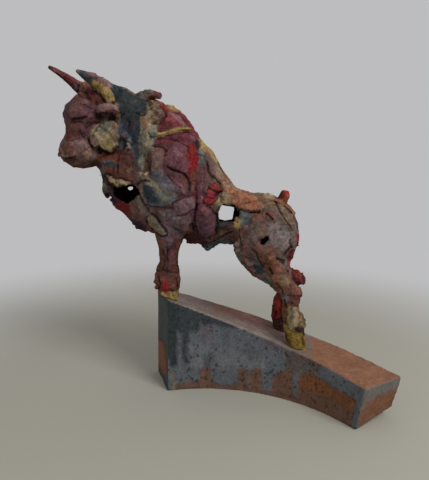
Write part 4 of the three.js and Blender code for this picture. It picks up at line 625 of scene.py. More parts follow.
HIND_HOOF_DABS = {
    "streak_tan": ("tan", 1.1, [(286, 312), (287, 326)]),
    "streak_soot": ("soot", 0.9, [(291.5, 305), (292.5, 318)]),
    "streak_bone": ("bone", 1.2, [(295, 308), (297, 322)]),
    "streak_olive": ("olive", 1, [(299.5, 310), (300, 324)]),
    "streak_umber": ("umber", 1.3, [(303, 305), (304, 322)]),
    "streak_yellow": ("yellow", 1.6, [(284, 316), (286, 330)]),
    "umber": ("umber", 1.2, [(286, 338), (290, 346)]), "ember": ("ember", 1, [(289, 340), (294, 350)]),
    "soot": ("soot", 1.1, [(284, 332), (286, 340)]), "olive": ("olive", 1.2, [(296, 338), (298, 346)]),
    "yellow": ("yellow", 1.4, [(291, 332), (296, 342)]),
    # Painted shadow: soot_next darkens the shaded back of the hoof
    "soot_next": ("soot", 1.3, [(302, 337), (304, 346)]),
    "yellow_next": ("yellow", 1.2, [(299, 344), (302, 350)]),
    "soot_third": ("soot", 0.9, [(293, 329), (297, 330)]),
    "olive_next": ("olive", 1, [(288, 324), (290, 330)]), "bone": ("bone", 1, [(294, 320), (297, 325)]),
}
FORE_HOOF_PATCHES = {
    "red": ("blood", 0.2, [(163.5, 281), (168.5, 281), (169, 288), (166, 293), (163, 288)]),
}
SMALL_PATCHES = {
    "strap_olive": ("olive", 0, [(105, 98), (111, 98), (112, 104), (106, 104)]),
    "crest_tip": ("wine", 0.2, [(153, 88), (162, 90), (161, 97), (154, 95)]),
    "horn_tip": ("stone", 0, [(72, 66), (80, 68), (80, 74), (74, 75)]),
    "horn_low": ("maroon", 0, [(50, 72), (58, 72), (66, 76), (76, 82), (80, 98), (66, 92), (52, 78)]),
    "horn_root": ("russet", 0.4, [(74, 80), (84, 79), (92, 84), (92, 94), (80, 94), (74, 88)]),
    "horn_lump": ("rose", 0, [(86, 71), (94, 70), (100, 75), (104, 80), (100, 82), (94, 78), (88, 76)]),
    "horn_purple": ("violet", 0, [(71, 83), (78, 84), (78, 89), (72, 88)]),
    "horn_dark_tip": ("olive", 0, [(44, 62), (49, 63), (50, 68), (45, 68)]),
    "horn_strap": ("gold", 1.2, STRAP), "horn_slab": ("pink", 0.8, PINK_SLAB),
    "tail_mid": ("knob_red", 0, [(281, 190), (289, 190), (290, 200), (283, 203)]),
    "tail_foot": ("gold", 0, [(279, 203), (290, 203), (290, 209), (279, 209)]),
    "tail_side": ("umber", 0, [(276, 188), (283, 190), (284, 204), (278, 206)]),
    "tail_back": ("tan", 0, [(287, 196), (292, 194), (292, 206), (285, 206)]),
    "hock_dark": ("maroon", 0, [(290, 266), (296, 272), (300, 282), (304, 290), (294, 290), (288, 276)]),
    "hock_edge": ("wine", 0, [(302, 272), (308, 276), (308, 286), (303, 288)]),
    "coil_start": ("stone_green", 0, [(140, 122), (157, 122), (157.5, 144), (140, 144)]),
    "crest_dark": ("ember", 0, [(146, 95), (156, 94), (156, 102), (146, 102)]),
    "crest_olive": ("sage", 0, [(144, 88), (150, 88), (150, 93), (144, 94)]),
}
WALL_PATCHES = {
    "corner": ("glaze_dark", 0, [(156, 296), (216, 308), (246, 322), (232, 329), (212, 325), (198, 330),
        (188, 332), (186, 345), (182, 352), (170, 358), (156, 330)]),
    "streak_left": ("slate_green", 0, [(162, 300), (178, 304), (179, 340), (177, 368), (170, 366),
        (162, 340)]),
    "streak_right": ("glaze_dark", 0, [(181, 318), (190, 322), (189, 345), (186, 366), (181, 358)]),
    "gap": ("glaze", 0, [(177.5, 330), (181, 330), (182, 366), (177.5, 366)]),
    "pale": ("glaze_pale", 0, [(188, 344), (235, 350), (268, 360), (264, 372), (230, 370), (190, 368)]),
    "mauve_high": ("glaze_mauve", 0, [(200, 324), (213, 327), (214, 343), (202, 342)]),
    "mauve_low": ("glaze_mauve", 0, [(262, 330), (290, 342), (302, 352), (280, 354), (262, 346)]),
    "cloud": ("teal_grey", 0, [(203, 355), (212, 353), (215, 361), (211, 367), (204, 366)]),
    "brown": ("glaze_brown", 0, [(284, 352), (302, 350), (323, 362), (318, 376), (300, 372), (287, 370)]),
    "foot": ("foot_wash", -0.5, [(174, 386), (188, 382), (201, 380), (222, 385), (238, 384), (262, 392),
        (274, 392), (300, 400), (302, 410), (240, 400), (200, 394), (172, 394)]),
    "drip_first": ("panel", -0.5, [(200, 372), (205, 367), (210, 368), (212, 392), (200, 392)]),
    "drip_second": ("panel", -0.5, [(238, 370), (243, 366), (247, 371), (248, 396), (237, 394)]),
    "drip_third": ("panel", -0.5, [(250, 371), (256, 368), (261, 370), (262, 398), (249, 396)]),
    "drip_last": ("panel", -0.5, [(272, 379), (280, 372), (287, 370), (293, 371), (293, 403), (271, 399)]),
    "panel": ("panel_orange", -0.7, [(299, 375), (306, 373), (314, 375), (321, 380), (331, 387), (341, 392),
        (350, 397), (356, 401), (353, 412), (350, 424), (354, 434), (340, 430), (318, 418), (298, 408)]),
    "panel_low": ("panel", 0, [(299, 388), (318, 394), (338, 402), (351, 410), (350, 434), (318, 420),
        (298, 410)]),
    "corner_foot": ("glaze_yellow", 0, [(171, 372), (173.5, 373), (175, 386), (174, 392), (171, 392)]),
}
TOP_PATCHES = {
    "rose": ("top_pink", 0, [(174, 286), (240, 302), (300, 326), (306, 352), (252, 334), (214, 320),
        (172, 302)]),
    "streak": ("top_streak", 0, [(212, 302), (256, 314), (296, 330), (296, 338), (252, 324), (214, 311)]),
    "bare": ("bare", 0, [(304, 330), (404, 372), (404, 382), (366, 392), (306, 360)]),
    "bare_near": ("wash", 0, [(304, 330), (312, 336), (312, 358), (304, 354)]),
}
LOW_END_PATCHES = {
    "orange": ("end_orange", 0, [(357, 405), (372, 398), (398, 392), (400, 402), (358, 432), (354, 424)]),
    "band": ("end_band", 0.4, [(350, 390), (366, 386), (404, 374), (404, 385), (388, 392), (374, 398),
        (366, 403), (360, 412), (357, 430), (350, 432)]),
}
TALL_END_PATCHES = {
    "bare": ("end_clay", -0.4, [(156, 338), (164, 342), (167, 374), (162, 374), (156, 360)]),
}
HORN_DABS = {
    # Painted shade: soot and soot_low darken the cracks at the horn's root
    "soot": ("soot", 1.2, [(79, 84), (82, 88)]), "soot_low": ("soot", 1, [(76, 90), (79, 92)]),
    "peach": ("peach", 1.3, [(82, 81), (86, 83)]), "maroon": ("maroon", 1.4, [(84, 89), (89, 92)]),
    "clay": ("clay", 1.2, [(86, 86), (90, 88)]), "streak": ("rose", 1, [(54, 69), (62, 75)]),
}
HORN_CRACKS = {
    "root": (0.8, 1.4, [(75, 81), (78, 86), (77, 92)]),
    "root_low": (0.8, 1.4, [(81, 83), (84, 88), (90, 91)]),
    "side": (0.5, 0.6, [(56, 73), (66, 82), (74, 89)]),
}
HOCK_CRACKS = {
    "fold": (1, 1.4, [(294, 269), (299, 275), (299, 283)]), "edge": (0.8, 1.2, [(303, 274), (304, 282)]),
    "foot": (0.9, 1.2, [(296, 283), (301, 286), (305, 285)]),
}
FAR_LEG_SWELLS = {
    "front": (5, -3.4, [(268, 298), (269, 312)]), "knee": (3, 1.2, [(272, 316), (276, 318)]),
    "toe": (4, -3, [(267, 324), (270, 333)]),
}
FAR_LEG_CRACKS = {
    "fold": (0.9, 1.4, [(273, 304), (276, 311), (274, 318)]),
    "step": (0.9, 1.2, [(270, 318), (277, 320), (282, 318)]),
    "side": (0.8, 1.2, [(281, 300), (280, 310), (282, 322)]),
}
COIL_SWELLS = {
    "start": (6, -2.4, [(148, 128), (150, 140)]), "thin": (12, -0.5, [(160, 132), (190, 128)]),
}
HORN_SWELLS = {
    "thin": (8, -1.2, [(62, 74), (78, 86)]),
}
TOP_EDGE = [(157, 296), (167, 300), (178, 301.5), (215, 314.5), (250, 327.5), (271, 337), (290, 350)]

# Rolls and pinches of clay pressed on: radius in millimetres, and their line in pixels
ROLLS = {
    "belly_tip": (3, [(202, 245), (207, 249), (213, 246)]), "belly_fill": (3, [(188, 242), (196, 243)]),
    "belly_point": (2, [(208, 249), (210, 252)]), "belly_back": (3, [(236, 244), (240, 252)]),
    "crest_top": (3.2, [(146, 92), (151, 92)]), "crest_right": (2.4, [(153, 95), (157, 94)]),
    "crest_low": (2.4, [(147, 98), (152, 101)]), "coil_top": (2.2, [(149, 103), (155, 102), (160, 104)]),
    "coil_mid": (2, [(152, 109), (157, 110), (161, 113)]),
    "coil_low": (2, [(150, 115), (156, 118), (160, 120)]), "lump": (3.6, [(89, 75.4), (94, 76)]),
    "collar": (1.7, [(107, 175), (112, 180), (119, 182)]),
    "collar_end": (1.3, [(119, 182), (124, 183.5), (129, 182.5)]),
    "red_leaf": (1.4, [(210, 188), (215, 186), (221, 190)]), "red_low": (1.5, [(206, 202), (210, 198)]),
    "sill": (4.6, [(219, 225), (234, 225)]), "jamb": (5, [(240, 205), (239, 212), (238, 221)]),
    "lintel": (3, [(226, 202), (240, 203)]), "crumb_left": (2, [(222, 196), (226, 195)]),
    "crumb_right": (1.8, [(229, 199), (233, 203)]),
    "fetlock_front": (2.2, [(160, 262), (158, 268), (157, 275), (156, 282)]),
    "fetlock_back": (2.2, [(177, 276), (178, 283), (178, 288)]),
    "fetlock_low": (2, [(156, 287), (159, 289)]), "hock_lump": (1.8, [(300, 291), (301.5, 296)]),
    "cord": (1.6, [(160, 250), (160, 260)]),
    "breast": (2.6, [(127, 213), (131, 220), (138, 227), (146, 231)]),
    "breast_top": (2.4, [(112, 200), (117, 206), (124, 211)]),
    "rump_spur": (1.5, [(297, 236), (299, 242), (301, 247)]),
    "rim_scrap": (2.2, [(104, 183), (105, 190), (108, 196)]),
    "poll_fill": (3.4, [(81, 84), (85, 84), (88, 86)]), "crest_left": (2.6, [(138, 95), (142, 93)]),
    "hock_leaf": (1.5, [(291, 267), (295, 270), (299, 271)]),
    "hock_fold": (1.5, [(302, 273), (305, 279), (304, 285)]), "pastern": (2.4, [(302, 318), (305, 326)]),
    "heel": (2.4, [(303.5, 336), (304, 350)]), "tail_foot": (2.4, [(282, 204), (287, 206)]),
    "rim": (2.2, [(245, 260), (250, 268), (257, 275), (265, 279)]),
}
ROLL_STEP = 1.0
ROLL_SINK, ROLL_NEAR = 0.4, 1.2
BALL_RINGS = 5
RAY_START, RAY_END, RAY_STEP = 380, 760, 2

# Where the clay is crumbly: how wide, in pixels, and along which line
CRUMBLY = {
    "coils": (7, [(152, 101), (156, 112), (154, 122)]), "crest": (6, [(140, 93), (152, 91), (161, 93)]),
    "poll": (7, [(80, 90), (92, 92), (102, 96)]), "throat": (6, [(98, 170), (106, 174), (112, 180)]),
    "flecks": (6, [(122, 140), (128, 150)]), "belly": (5, [(186, 244), (206, 248), (226, 242), (240, 250)]),
    "window": (6, [(216, 196), (228, 198), (238, 208)]), "spine": (4, [(160, 102), (176, 108), (196, 136)]),
    "rump": (6, [(262, 194), (276, 200), (292, 218)]), "buttock": (6, [(297, 228), (297, 244), (290, 260)]),
    "horn_root": (6, [(78, 84), (86, 90)]), "far_leg": (5, [(274, 298), (274, 326)]),
    "hock": (6, [(292, 270), (303, 286), (300, 306)]), "shin": (4, [(272, 288), (284, 304), (284, 318)]),
    "fetlock": (8, [(154, 282), (168, 288), (182, 280)]), "knee": (4, [(156, 250), (160, 268)]),
    "pastern": (6, [(286, 316), (304, 318)]), "rim": (4, [(242, 256), (252, 270), (266, 280)]),
    "breast": (4, [(112, 206), (124, 220), (140, 232)]), "edge": (4, [(146, 160), (150, 176)]),
}

# Where a hidden place takes its paint from: the same place folded to the side that shows
TRUNK_FOLD = 6
HEAD_FOLD = -8
THIGH_MIDDLE = -29
FORE_NEAR, FORE_FAR = np.array([-71.0, -14.0, 0.0]), np.array([-76.0, 15.0, 0.6])
HIND_NEAR, HIND_FAR = np.array([88.0, -21.0, 0.0]), np.array([72.0, 17.0, 6.0])
FOLD_FADE = 30.0

# Where neighbours take their relief from places far apart, and how widely it is blended there
JUMP_PIXELS, JUMP_PASSES, JUMP_SPREAD = 1.2, 10, 12

# Unevenness as layers of noise: size in millimetres, strength, and a number that sets each layer apart
LUMPS = [(15, 0.9, 11), (7, 0.5, 12), (3.4, 0.28, 13), (2.0, 0.24, 14)]
CRUMBS = [(4.6, 1.3, 15), (2.6, 0.9, 16)]
SCRAP_BEND = [[(5, 2, 21)], [(5, 2, 22)], [(5, 2, 23)]]
BLOTCHES = [(9, 0.16, 41), (4, 0.2, 42), (1.9, 0.42, 43)]
WARM_BLOTCHES = [(12, 1, 44), (5, 0.4, 45)]
COOL_BLOTCHES = [(12, -1, 46), (5, 0.4, 47)]
OUTLINE_WANDER = [[(4, 1, 51), (2, 0.5, 53)], [(4, 1, 52), (2, 0.5, 54)]]
HIDDEN_WANDER = [[(24, 6, 61)], [(24, 6, 62)]]
PLINTH_LUMPS = [(18, 0.5, 71), (6, 0.22, 72), (3, 0.1, 73)]
PLINTH_BLOTCHES = [(14, 0.12, 74), (5, 0.14, 75), (2.2, 0.16, 76)]
FRECKLES = [(2.6, 1, 77)]
RUN_WANDER = [(1.0, 1.8, 78), (0.45, 0.8, 79)]
RUN_SHADES = [(0.7, 0.1, 80), (0.35, 0.06, 82)]
CRACK_BREAKS = [(4.5, 1, 81)]

# Scraps all over the clay, in millimetres, and how much of all unevenness the small pieces have
SCRAP_SIZE, SCRAP_SALT, SCRAP_DEPTH, SCRAP_STEP, SCRAP_EDGE = 12.0, 31, 0.2, 0.35, 0.9
SMALL_PIECE_RELIEF = 0.6

# The tone of the hidden backs of the pieces
BACK_TONE = "umber"

# Paint and cracks, in pixels and shares: how scraps and dabs tear, blur and cover, the shadow painted beside
# proud scraps, and the shade painted into cracks
TEAR, WANDER, PLINTH_TEAR = 1.5, 0.45, 0.6
TORN, BLED, SMEAR, WALL_BLED = 1.0, 3.6, 2.4, 6.0
DAB_STRENGTH, COVERED = 0.8, 0.8
SHADOW_OFF, SHADOW_WIDTH, SHADOW_DEPTH = 0.9, 0.7, 0.8
# How dark the painted shadow beside proud scraps and the painted shade in cracks are
SHADOW_DARK, CRACK_PAINTED_SHADE = 0.5, 0.98
CRACK_EVEN, CRACK_FAINT = 0.75, 0.15
PROUD = 1.3
PATCH_MARGIN, DAB_MARGIN, CRACK_MARGIN = 5, 4, 2
CRACK_REACH, SWELL_REACH = 3, 2.5

# Blotches and painted light: how strongly scraps, seams, warm and cool blotches change the colour, and how
# dark the painted shade in hollows and how pale the painted highlight on brinks may get
SCRAP_SHADE, SEAM_SHADE, HOLLOW_PAINTED_SHADE = 0.16, 0.12, 0.16
PAINTED_SHADE_DARKEST, BRINK_PAINTED_HIGHLIGHT, DARKEST = 0.4, 1.35, 0.2
WARM_TONE, WARM_SHARE = "brick", 0.12
COOL_TONE, COOL_SHARE, COOL_DIMMED = "blue_grey", 0.1, 0.8
# The near-black tone that painted shade, in cracks and beside proud scraps, darkens the clay towards
PAINTED_SHADE_TONE, PAINTED_SHADE_DIMMED = "soot", 0.7

# Glaze of the plinth: runs down the wall, the worn top edge, freckles, and where the bluish glaze shines
RUN_STRETCH, RUN_LENGTH, RUN_BEHIND = 60, 40, 10.0
FACE_UP, FACE_END = 0.6, 0.7
EDGE_REACH, EDGE_WIDTH, EDGE_STRENGTH = 4, 1.5, 0.7
FRECKLE_FROM, FRECKLE_FADE, FRECKLE_STRENGTH = 0.45, 0.2, 0.65
SHINE_FROM, SHINE_FADE, LEAST_RED = 0.75, 0.2, 1e-4

# How far the outside of a shell may face away from its middle line
SHELL_FACING = -0.3

# How the clay behind a place is measured, in millimetres, and the share of it that a piece may take
ROOM_START, ROOM_REACH, ROOM_SHARE = 0.2, 16.0, 0.45

# Large numbers that scramble the place of a cell
SCRAMBLE = (73856093, 19349663, 83492791)
SALT_SCRAMBLE, LAST_SCRAMBLE = 668265263, 1274126177


def camera_axes():
    """Right, up and forward of the camera, as rows."""
    level_right = np.array([math.cos(CAMERA_YAW), math.sin(CAMERA_YAW), 0.0])
    level_ahead = np.array([-math.sin(CAMERA_YAW), math.cos(CAMERA_YAW), 0.0])
    ahead = level_ahead * math.cos(CAMERA_PITCH) - np.array([0, 0, math.sin(CAMERA_PITCH)])
    up = np.cross(level_right, ahead)
    c, s = math.cos(CAMERA_ROLL), math.sin(CAMERA_ROLL)
    return np.array([level_right * c + up * s, up * c - level_right * s, ahead])


AXES = camera_axes()


def to_photo(points):
    """Pixels of the photograph at which points in millimetres lie."""
    seen = (points - CAMERA_AT) @ AXES.T
    scale = FOCAL_PIXELS / seen[:, 2]
    return np.stack([PHOTO_WIDE / 2 + seen[:, 0] * scale, PHOTO_HIGH / 2 - seen[:, 1] * scale], 1)


# Noise


def dice(cells, salt):
    """A steady number from 0 to 1 for each whole-numbered cell."""
    h = salt * SALT_SCRAMBLE
    for axis, factor in enumerate(SCRAMBLE):
        h = h ^ (cells[:, axis] * factor)
    h = ((h ^ (h >> 13)) & 0xFFFFFFFF) * LAST_SCRAMBLE
    h = h ^ (h >> 15)
    return (h & 0xFFFFFF) / 0xFFFFFF


def noise(points, size, salt):
    """Smooth noise from -1 to 1 with lumps of about that size."""
    place = points / size
    base = np.floor(place).astype(np.int64)
    part = place - base
    part = part * part * (3 - 2 * part)
    total = np.zeros(len(points))
    for corner in itertools.product((0, 1), repeat=3):
        weight = np.prod(np.where(corner, part, 1 - part), axis=1)
        total += weight * dice(base + np.array(corner), salt)
    return total * 2 - 1


def layers(points, table):
    """Several noises, one over the other."""
    return sum(noise(points, size, salt) * strength for size, strength, salt in table)


def waves(points, tables):
    """Layers of noise for each direction, side by side."""
    return np.stack([layers(points, table) for table in tables], 1)


def scraps(points, size, salt):
    """How far each place is from the edge of its torn scrap, and its scrap's number."""
    place = points / size
    base = np.floor(place).astype(np.int64)
    first, second = np.full(len(points), np.inf), np.full(len(points), np.inf)
    tag = np.zeros(len(points))
    for corner in itertools.product((-1, 0, 1), repeat=3):
        cell = base + np.array(corner)
        middle = cell + np.stack([dice(cell, salt + k) for k in range(3)], 1)
        off = np.linalg.norm(middle - place, axis=1)
        closer = off < first
        second = np.where(closer, first, np.minimum(second, off))
        tag = np.where(closer, dice(cell, salt + 3), tag)
        first = np.minimum(first, off)
    return (second - first) * size / 2, tag


def ease(x):
    """From 0 to 1, gently at both ends."""
    x = np.clip(x, 0, 1)
    return x * x * (3 - 2 * x)


def bump(off, width):
    """From 1 on a line to 0 well off it."""
    return np.exp(-((off / width) ** 2))


def linear(tone):
    """A tone as linear light, by the standard curve of screens."""
    c = np.array(TONES[tone]) / 255
    return np.where(c <= 0.04045, c / 12.92, ((c + 0.055) / 1.055) ** 2.4)


# Meshes as arrays


def unit(v):
    """Directions of length one."""
    return v / np.maximum(np.linalg.norm(v, axis=-1, keepdims=True), 1e-12)


def put(name, data):
    """A new object in the scene."""
    obj = bpy.data.objects.new(name, data)
    bpy.context.scene.collection.objects.link(obj)
    return obj


def arrays_of(obj):
    """An object's points in millimetres and its triangles."""
    mesh = obj.data
    points = np.empty(len(mesh.vertices) * 3)
    mesh.vertices.foreach_get("co", points)
    mesh.calc_loop_triangles()
    faces = np.empty(len(mesh.loop_triangles) * 3, int)
    mesh.loop_triangles.foreach_get("vertices", faces)
    return points.reshape(-1, 3) / MM, faces.reshape(-1, 3)


def joined(parts):
    """Several (points, faces) as one, with the part that each face is of."""
    points, faces, owner, start = [], [], [], 0
    for i, (p, f) in enumerate(parts):
        points.append(p)
        faces.append(f + start)
        owner.append(np.full(len(f), i))
        start += len(p)
    return np.concatenate(points), np.concatenate(faces), np.concatenate(owner)


def fuse(points, faces, voxel):
    """One skin round several closed parts, as points and four-sided faces."""
    mesh = bpy.data.meshes.new("fuse")
    mesh.from_pydata((points * MM).tolist(), [], faces.tolist())
    obj = put("fuse", mesh)
    remesh = obj.modifiers.new("remesh", "REMESH")
    remesh.mode = "VOXEL"
    remesh.voxel_size = voxel * MM
    done = obj.evaluated_get(bpy.context.evaluated_depsgraph_get()).to_mesh()
    p = np.empty(len(done.vertices) * 3)
    done.vertices.foreach_get("co", p)
    corners = np.empty(len(done.loops), int)
    done.loops.foreach_get("vertex_index", corners)
    bpy.data.objects.remove(obj)
    bpy.data.meshes.remove(mesh)
    return p.reshape(-1, 3) / MM, corners.reshape(-1, 4)


class Ring:
    """The neighbours of each point of a skin."""

    def __init__(self, faces, count):
        start, end = faces.ravel(), np.roll(faces, -1, 1).ravel()
        self.start, self.end = np.concatenate([start, end]), np.concatenate([end, start])
        self.count = count
        self.shared = np.maximum(np.bincount(self.start, minlength=count), 1)

    def mean(self, values):
        if values.ndim == 1:
            return np.bincount(self.start, values[self.end], self.count) / self.shared
        return np.stack([self.mean(column) for column in values.T], 1)


def face_normals(points, faces):
    """The direction that each four-sided face looks, as long as twice its area."""
    a, b, c, d = (points[faces[:, k]] for k in range(4))
    return np.cross(c - a, d - b)


def normals_of(points, faces):
    """The direction that the skin looks at each point."""
    n = face_normals(points, faces)
    total = np.zeros_like(points)
    for k in range(4):
        for axis in range(3):
            total[:, axis] += np.bincount(faces[:, k], n[:, axis], len(points))
    return unit(total)


def off_line(points, line):
    """From the nearest place on a line of several stretches to each point."""
    best, far = np.zeros_like(points), np.full(len(points), np.inf)
    for a, b in zip(line[:-1], line[1:]):
        t = np.clip((points - a) @ (b - a) / ((b - a) @ (b - a)), 0, 1)
        away = points - (a + t[:, None] * (b - a))
        off = np.linalg.norm(away, axis=1)
        closer = off < far
        best[closer], far[closer] = away[closer], off[closer]
    return best


def boundary(faces):
    """Directed edges that only one face has."""
    start, end = faces.ravel(), np.roll(faces, -1, 1).ravel()
    top = int(faces.max()) + 1
    alone = ~np.isin(start * top + end, end * top + start)
    return np.stack([start[alone], end[alone]], 1)


# Laying paint and relief by the photograph's pixels


def inside_by(px, outline):
    """How far inside an outline each place is, in pixels, and negative outside it."""
    a = np.array(outline, float)
    b = np.roll(a, -1, 0)
    edge = b - a
    off = px[:, None] - a
    t = np.clip((off * edge).sum(2) / (edge * edge).sum(1), 0, 1)
    far = np.linalg.norm(off - t[:, :, None] * edge, axis=2).min(1)
    y = px[:, 1, None]
    spans = (a[:, 1] > y) != (b[:, 1] > y)
    rise = np.where(edge[:, 1] == 0, 1, edge[:, 1])
    crosses = spans & (px[:, 0, None] < a[:, 0] + (y - a[:, 1]) * edge[:, 0] / rise)
    return np.where(crosses.sum(1) % 2 == 1, far, -far)


def off_stroke(px, line):
    """How far each place is from a line of several stretches, in pixels."""
    a = np.array(line if len(line) > 1 else line * 2, float)
    start, edge = a[:-1], a[1:] - a[:-1]
    off = px[:, None] - start
    t = np.clip((off * edge).sum(2) / np.maximum((edge * edge).sum(1), 1e-9), 0, 1)
    return np.linalg.norm(off - t[:, :, None] * edge, axis=2).min(1)


class Coat:
    """The paint and the relief of a skin, laid on through the photograph's pixels."""

    def __init__(self, points, tones):
        self.px = np.zeros((len(points), 2))
        self.torn = np.zeros((len(points), 2))
        self.colour = tones
        self.lift = np.zeros(len(points))
        self.form = np.zeros(len(points))
        # How strongly painted shade darkens each place, in cracks and beside proud scraps
        self.dark = np.zeros(len(points))

    def near(self, where, line, reach):
        """Those places that may lie within reach of a line."""
        line = np.array(line, float)
        low, high = line.min(0) - reach, line.max(0) + reach
        px = self.px[where]
        return where[((px > low) & (px < high)).all(1)]

    def tint(self, at, tone, amount):
        """Paints over what is there."""
        self.colour[at] += (linear(tone) - self.colour[at]) * amount[:, None]

    def patches(self, where, table, bled=BLED):
        """Scraps of clay, flat ones with a blurred brink and proud ones with a torn and shaded brink."""
        for tone, rise, outline in table.values():
            at = self.near(where, outline, PATCH_MARGIN)
            depth = inside_by(self.torn[at], outline)
            self.tint(at, tone, ease(depth / (TORN if rise >= PROUD else bled) + 0.5))
            amount = ease(depth / TORN + 0.5)
            self.dark[at] *= 1 - amount * COVERED
            self.lift[at] += rise * amount
            if rise >= PROUD:
                # A shadow painted just outside a proud scrap's brink, over a shallow groove
                brink = bump(depth + SHADOW_OFF, SHADOW_WIDTH)
                self.dark[at] = np.maximum(self.dark[at], SHADOW_DARK * brink)
                self.lift[at] -= SHADOW_DEPTH * brink

    def dabs(self, where, table):
        """Smears of slip along lines."""
        for tone, radius, line in table.values():
            at = self.near(where, line, radius + DAB_MARGIN)
            depth = radius - off_stroke(self.torn[at], line)
            self.tint(at, tone, ease(depth / SMEAR + 0.5) * DAB_STRENGTH)

    def swells(self, where, table):
        """Gentle bulges and dips along lines."""
        for width, rise, line in table.values():
            at = self.near(where, line, SWELL_REACH * width)
            self.form[at] += rise * bump(off_stroke(self.px[at], line), width)

    def cracks(self, where, table):
        """Cuts along lines, with painted shade laid dark into them, weaker in places."""
        for width, depth, line in table.values():
            at = self.near(where, line, CRACK_REACH * width + CRACK_MARGIN)
            cut = bump(off_stroke(self.px[at], line), width)
            flat = np.concatenate([self.px[at], np.zeros((len(at), 1))], 1)
            broken = np.clip(CRACK_EVEN + layers(flat, CRACK_BREAKS), CRACK_FAINT, 1)
            self.dark[at] = np.maximum(self.dark[at], CRACK_PAINTED_SHADE * cut * broken)
            self.lift[at] -= depth * cut

    def lay(self, where, tables):
        """All that one group of nodes gets, in order."""
        swells, patches, dabs, cracks = tables
        self.swells(where, swells)
        self.patches(where, patches)
        self.dabs(where, dabs)
        self.cracks(where, cracks)


def fold(values, at):
    """Mirrors what lies above a value to below it."""
    return at - np.abs(values - at)


def shown_place(name, points):
    """The place on the side that shows, from which each point takes its paint."""
    p = points.copy()
    if name in HEAD_NODES or name == "ear_far":
        nearward = (p - HEAD_JOINT) @ HEAD_NEARWARD
        at = HEAD_FOLD if name in HEAD_NODES else 0
        p += (2 * np.maximum(at - nearward, 0))[:, None] * HEAD_NEARWARD
    elif name.startswith("thigh"):
        p[:, 1] = -np.abs(p[:, 1])
        p[:, 1] = fold(p[:, 1], THIGH_MIDDLE)
    elif name in ("hind_cannon_far", "hind_hoof_far"):
        p[:, 1] = fold(p[:, 1], HIND_FAR[1])
    elif name.startswith(("fore", "hind")):
        near, far = (FORE_NEAR, FORE_FAR) if name.startswith("fore") else (HIND_NEAR, HIND_FAR)
        if name.endswith("far"):
            p += near - far
        p[:, 1] = fold(p[:, 1], near[1])
    elif not name.startswith(("horn", "ear", "mane_strap")):
        p[:, 1] = fold(p[:, 1], TRUNK_FOLD)
    return p


# Nodes in groups

ANIMAL = [name for name in frame["nodes"] if not name.startswith("plinth")]
PLINTH = [name for name in frame["nodes"] if name.startswith("plinth")]
HEAD_SLABS = ("jaw", "muzzle", "face", "poll", "cheek")
HEAD_NODES = [name for name in ANIMAL if name.split("_slab")[0] in HEAD_SLABS]
THIGH_SIDES = {"thigh_near": -1, "thigh_far": 1}
SLOTS = {row["node"]: row["material_slot"] for row in frame["record"]["subparts"]}


def tone_of(name):
    """The tone of a node, or of the pair that it belongs to."""
    return NODE_TONES.get(name) or NODE_TONES[name.rsplit("_", 1)[0]]


def is_shell(name):
    """Whether a node is a slab of the hollow body."""
    return "_slab" in name or name in THIGH_SIDES


def group_of(name):
    """The group of nodes whose paint a node shares."""
    if name in HEAD_NODES:
        return "head"
    if name in THIGH_SIDES:
        return "thigh"
    if "_slab" in name:
        return "trunk"
    return name.rsplit("_", 1)[0] if name.startswith("fore") else name


# Swells, patches, dabs and cracks of the shell, laid in this order, and of the other groups
SHELL_GROUPS = ["head", "trunk", "thigh", "foreleg"]
SHELL_TABLES = [
    (THIGH_SWELLS, THIGH_PATCHES, THIGH_DABS, THIGH_CRACKS),
    (TRUNK_SWELLS, TRUNK_PATCHES, TRUNK_DABS, TRUNK_CRACKS),
    (HEAD_SWELLS, HEAD_PATCHES, HEAD_DABS, HEAD_CRACKS),
]
GROUP_TABLES = {
    "ear_near": (EAR_SWELLS, EAR_PATCHES, {}, {}),
    "ear_far": ({}, EAR_PATCHES, {}, {}),
    "foreleg": ({}, FORELEG_PATCHES, {}, FORELEG_CRACKS),
    "fore_hoof": ({}, FORE_HOOF_PATCHES, FORE_HOOF_DABS, {}),
    "hind_cannon_near": ({}, CANNON_PATCHES, HIND_HOOF_DABS, CANNON_CRACKS),
    "hind_cannon_far": (FAR_LEG_SWELLS, FAR_LEG_PATCHES, {}, FAR_LEG_CRACKS),
    "hind_hoof_near": ({}, HIND_HOOF_PATCHES, HIND_HOOF_DABS, {}),
    "hind_hoof_far": (FAR_LEG_SWELLS, FAR_LEG_PATCHES, {}, FAR_LEG_CRACKS),
    "mane_strap": ({}, SMALL_PATCHES, {}, {}),
    "crest_knob": ({}, SMALL_PATCHES, {}, {}),
    "tail_knob": ({}, SMALL_PATCHES, {}, {}),
    "hock_knob": ({}, SMALL_PATCHES, {}, HOCK_CRACKS),
    "hump_coil": (COIL_SWELLS, SMALL_PATCHES, {}, {}),
    "horn_near": ({}, SMALL_PATCHES, {}, {}),
    "horn_far": (HORN_SWELLS, SMALL_PATCHES, HORN_DABS, HORN_CRACKS),
}


def line_of(name):
    """The middle line inside the shell that a node is a part of."""
    if name in HEAD_NODES:
        return np.array([HEAD_JOINT + HEAD_AHEAD * ahead + [0, 0, SOLES + h] for ahead, h in HEAD_LINE])
    if name in THIGH_SIDES:
        return np.array([[x, THIGH_SIDES[name] * y, SOLES + h] for x, y, h in THIGH_LINE])
    return np.array([[x, 0, SOLES + h] for x, h in TRUNK_LINE])


def round_plinth(points):
    """How far along the plinth's arc points lie, from 0 to 1, and their distance from its centre."""
    off = points[:, :2] - PLINTH_CENTRE
    start, end = PLINTH_ANGLES
    along = (start - np.degrees(np.arctan2(off[:, 1], off[:, 0]))) / (start - end)
    return along, np.linalg.norm(off, axis=1)


def plinth_top(along):
    """The height of the plinth's sagging top."""
    slope = PLINTH_HEIGHTS[0] + (PLINTH_HEIGHTS[1] - PLINTH_HEIGHTS[0]) * along
    return slope - PLINTH_SAG * 4 * along * (1 - along)


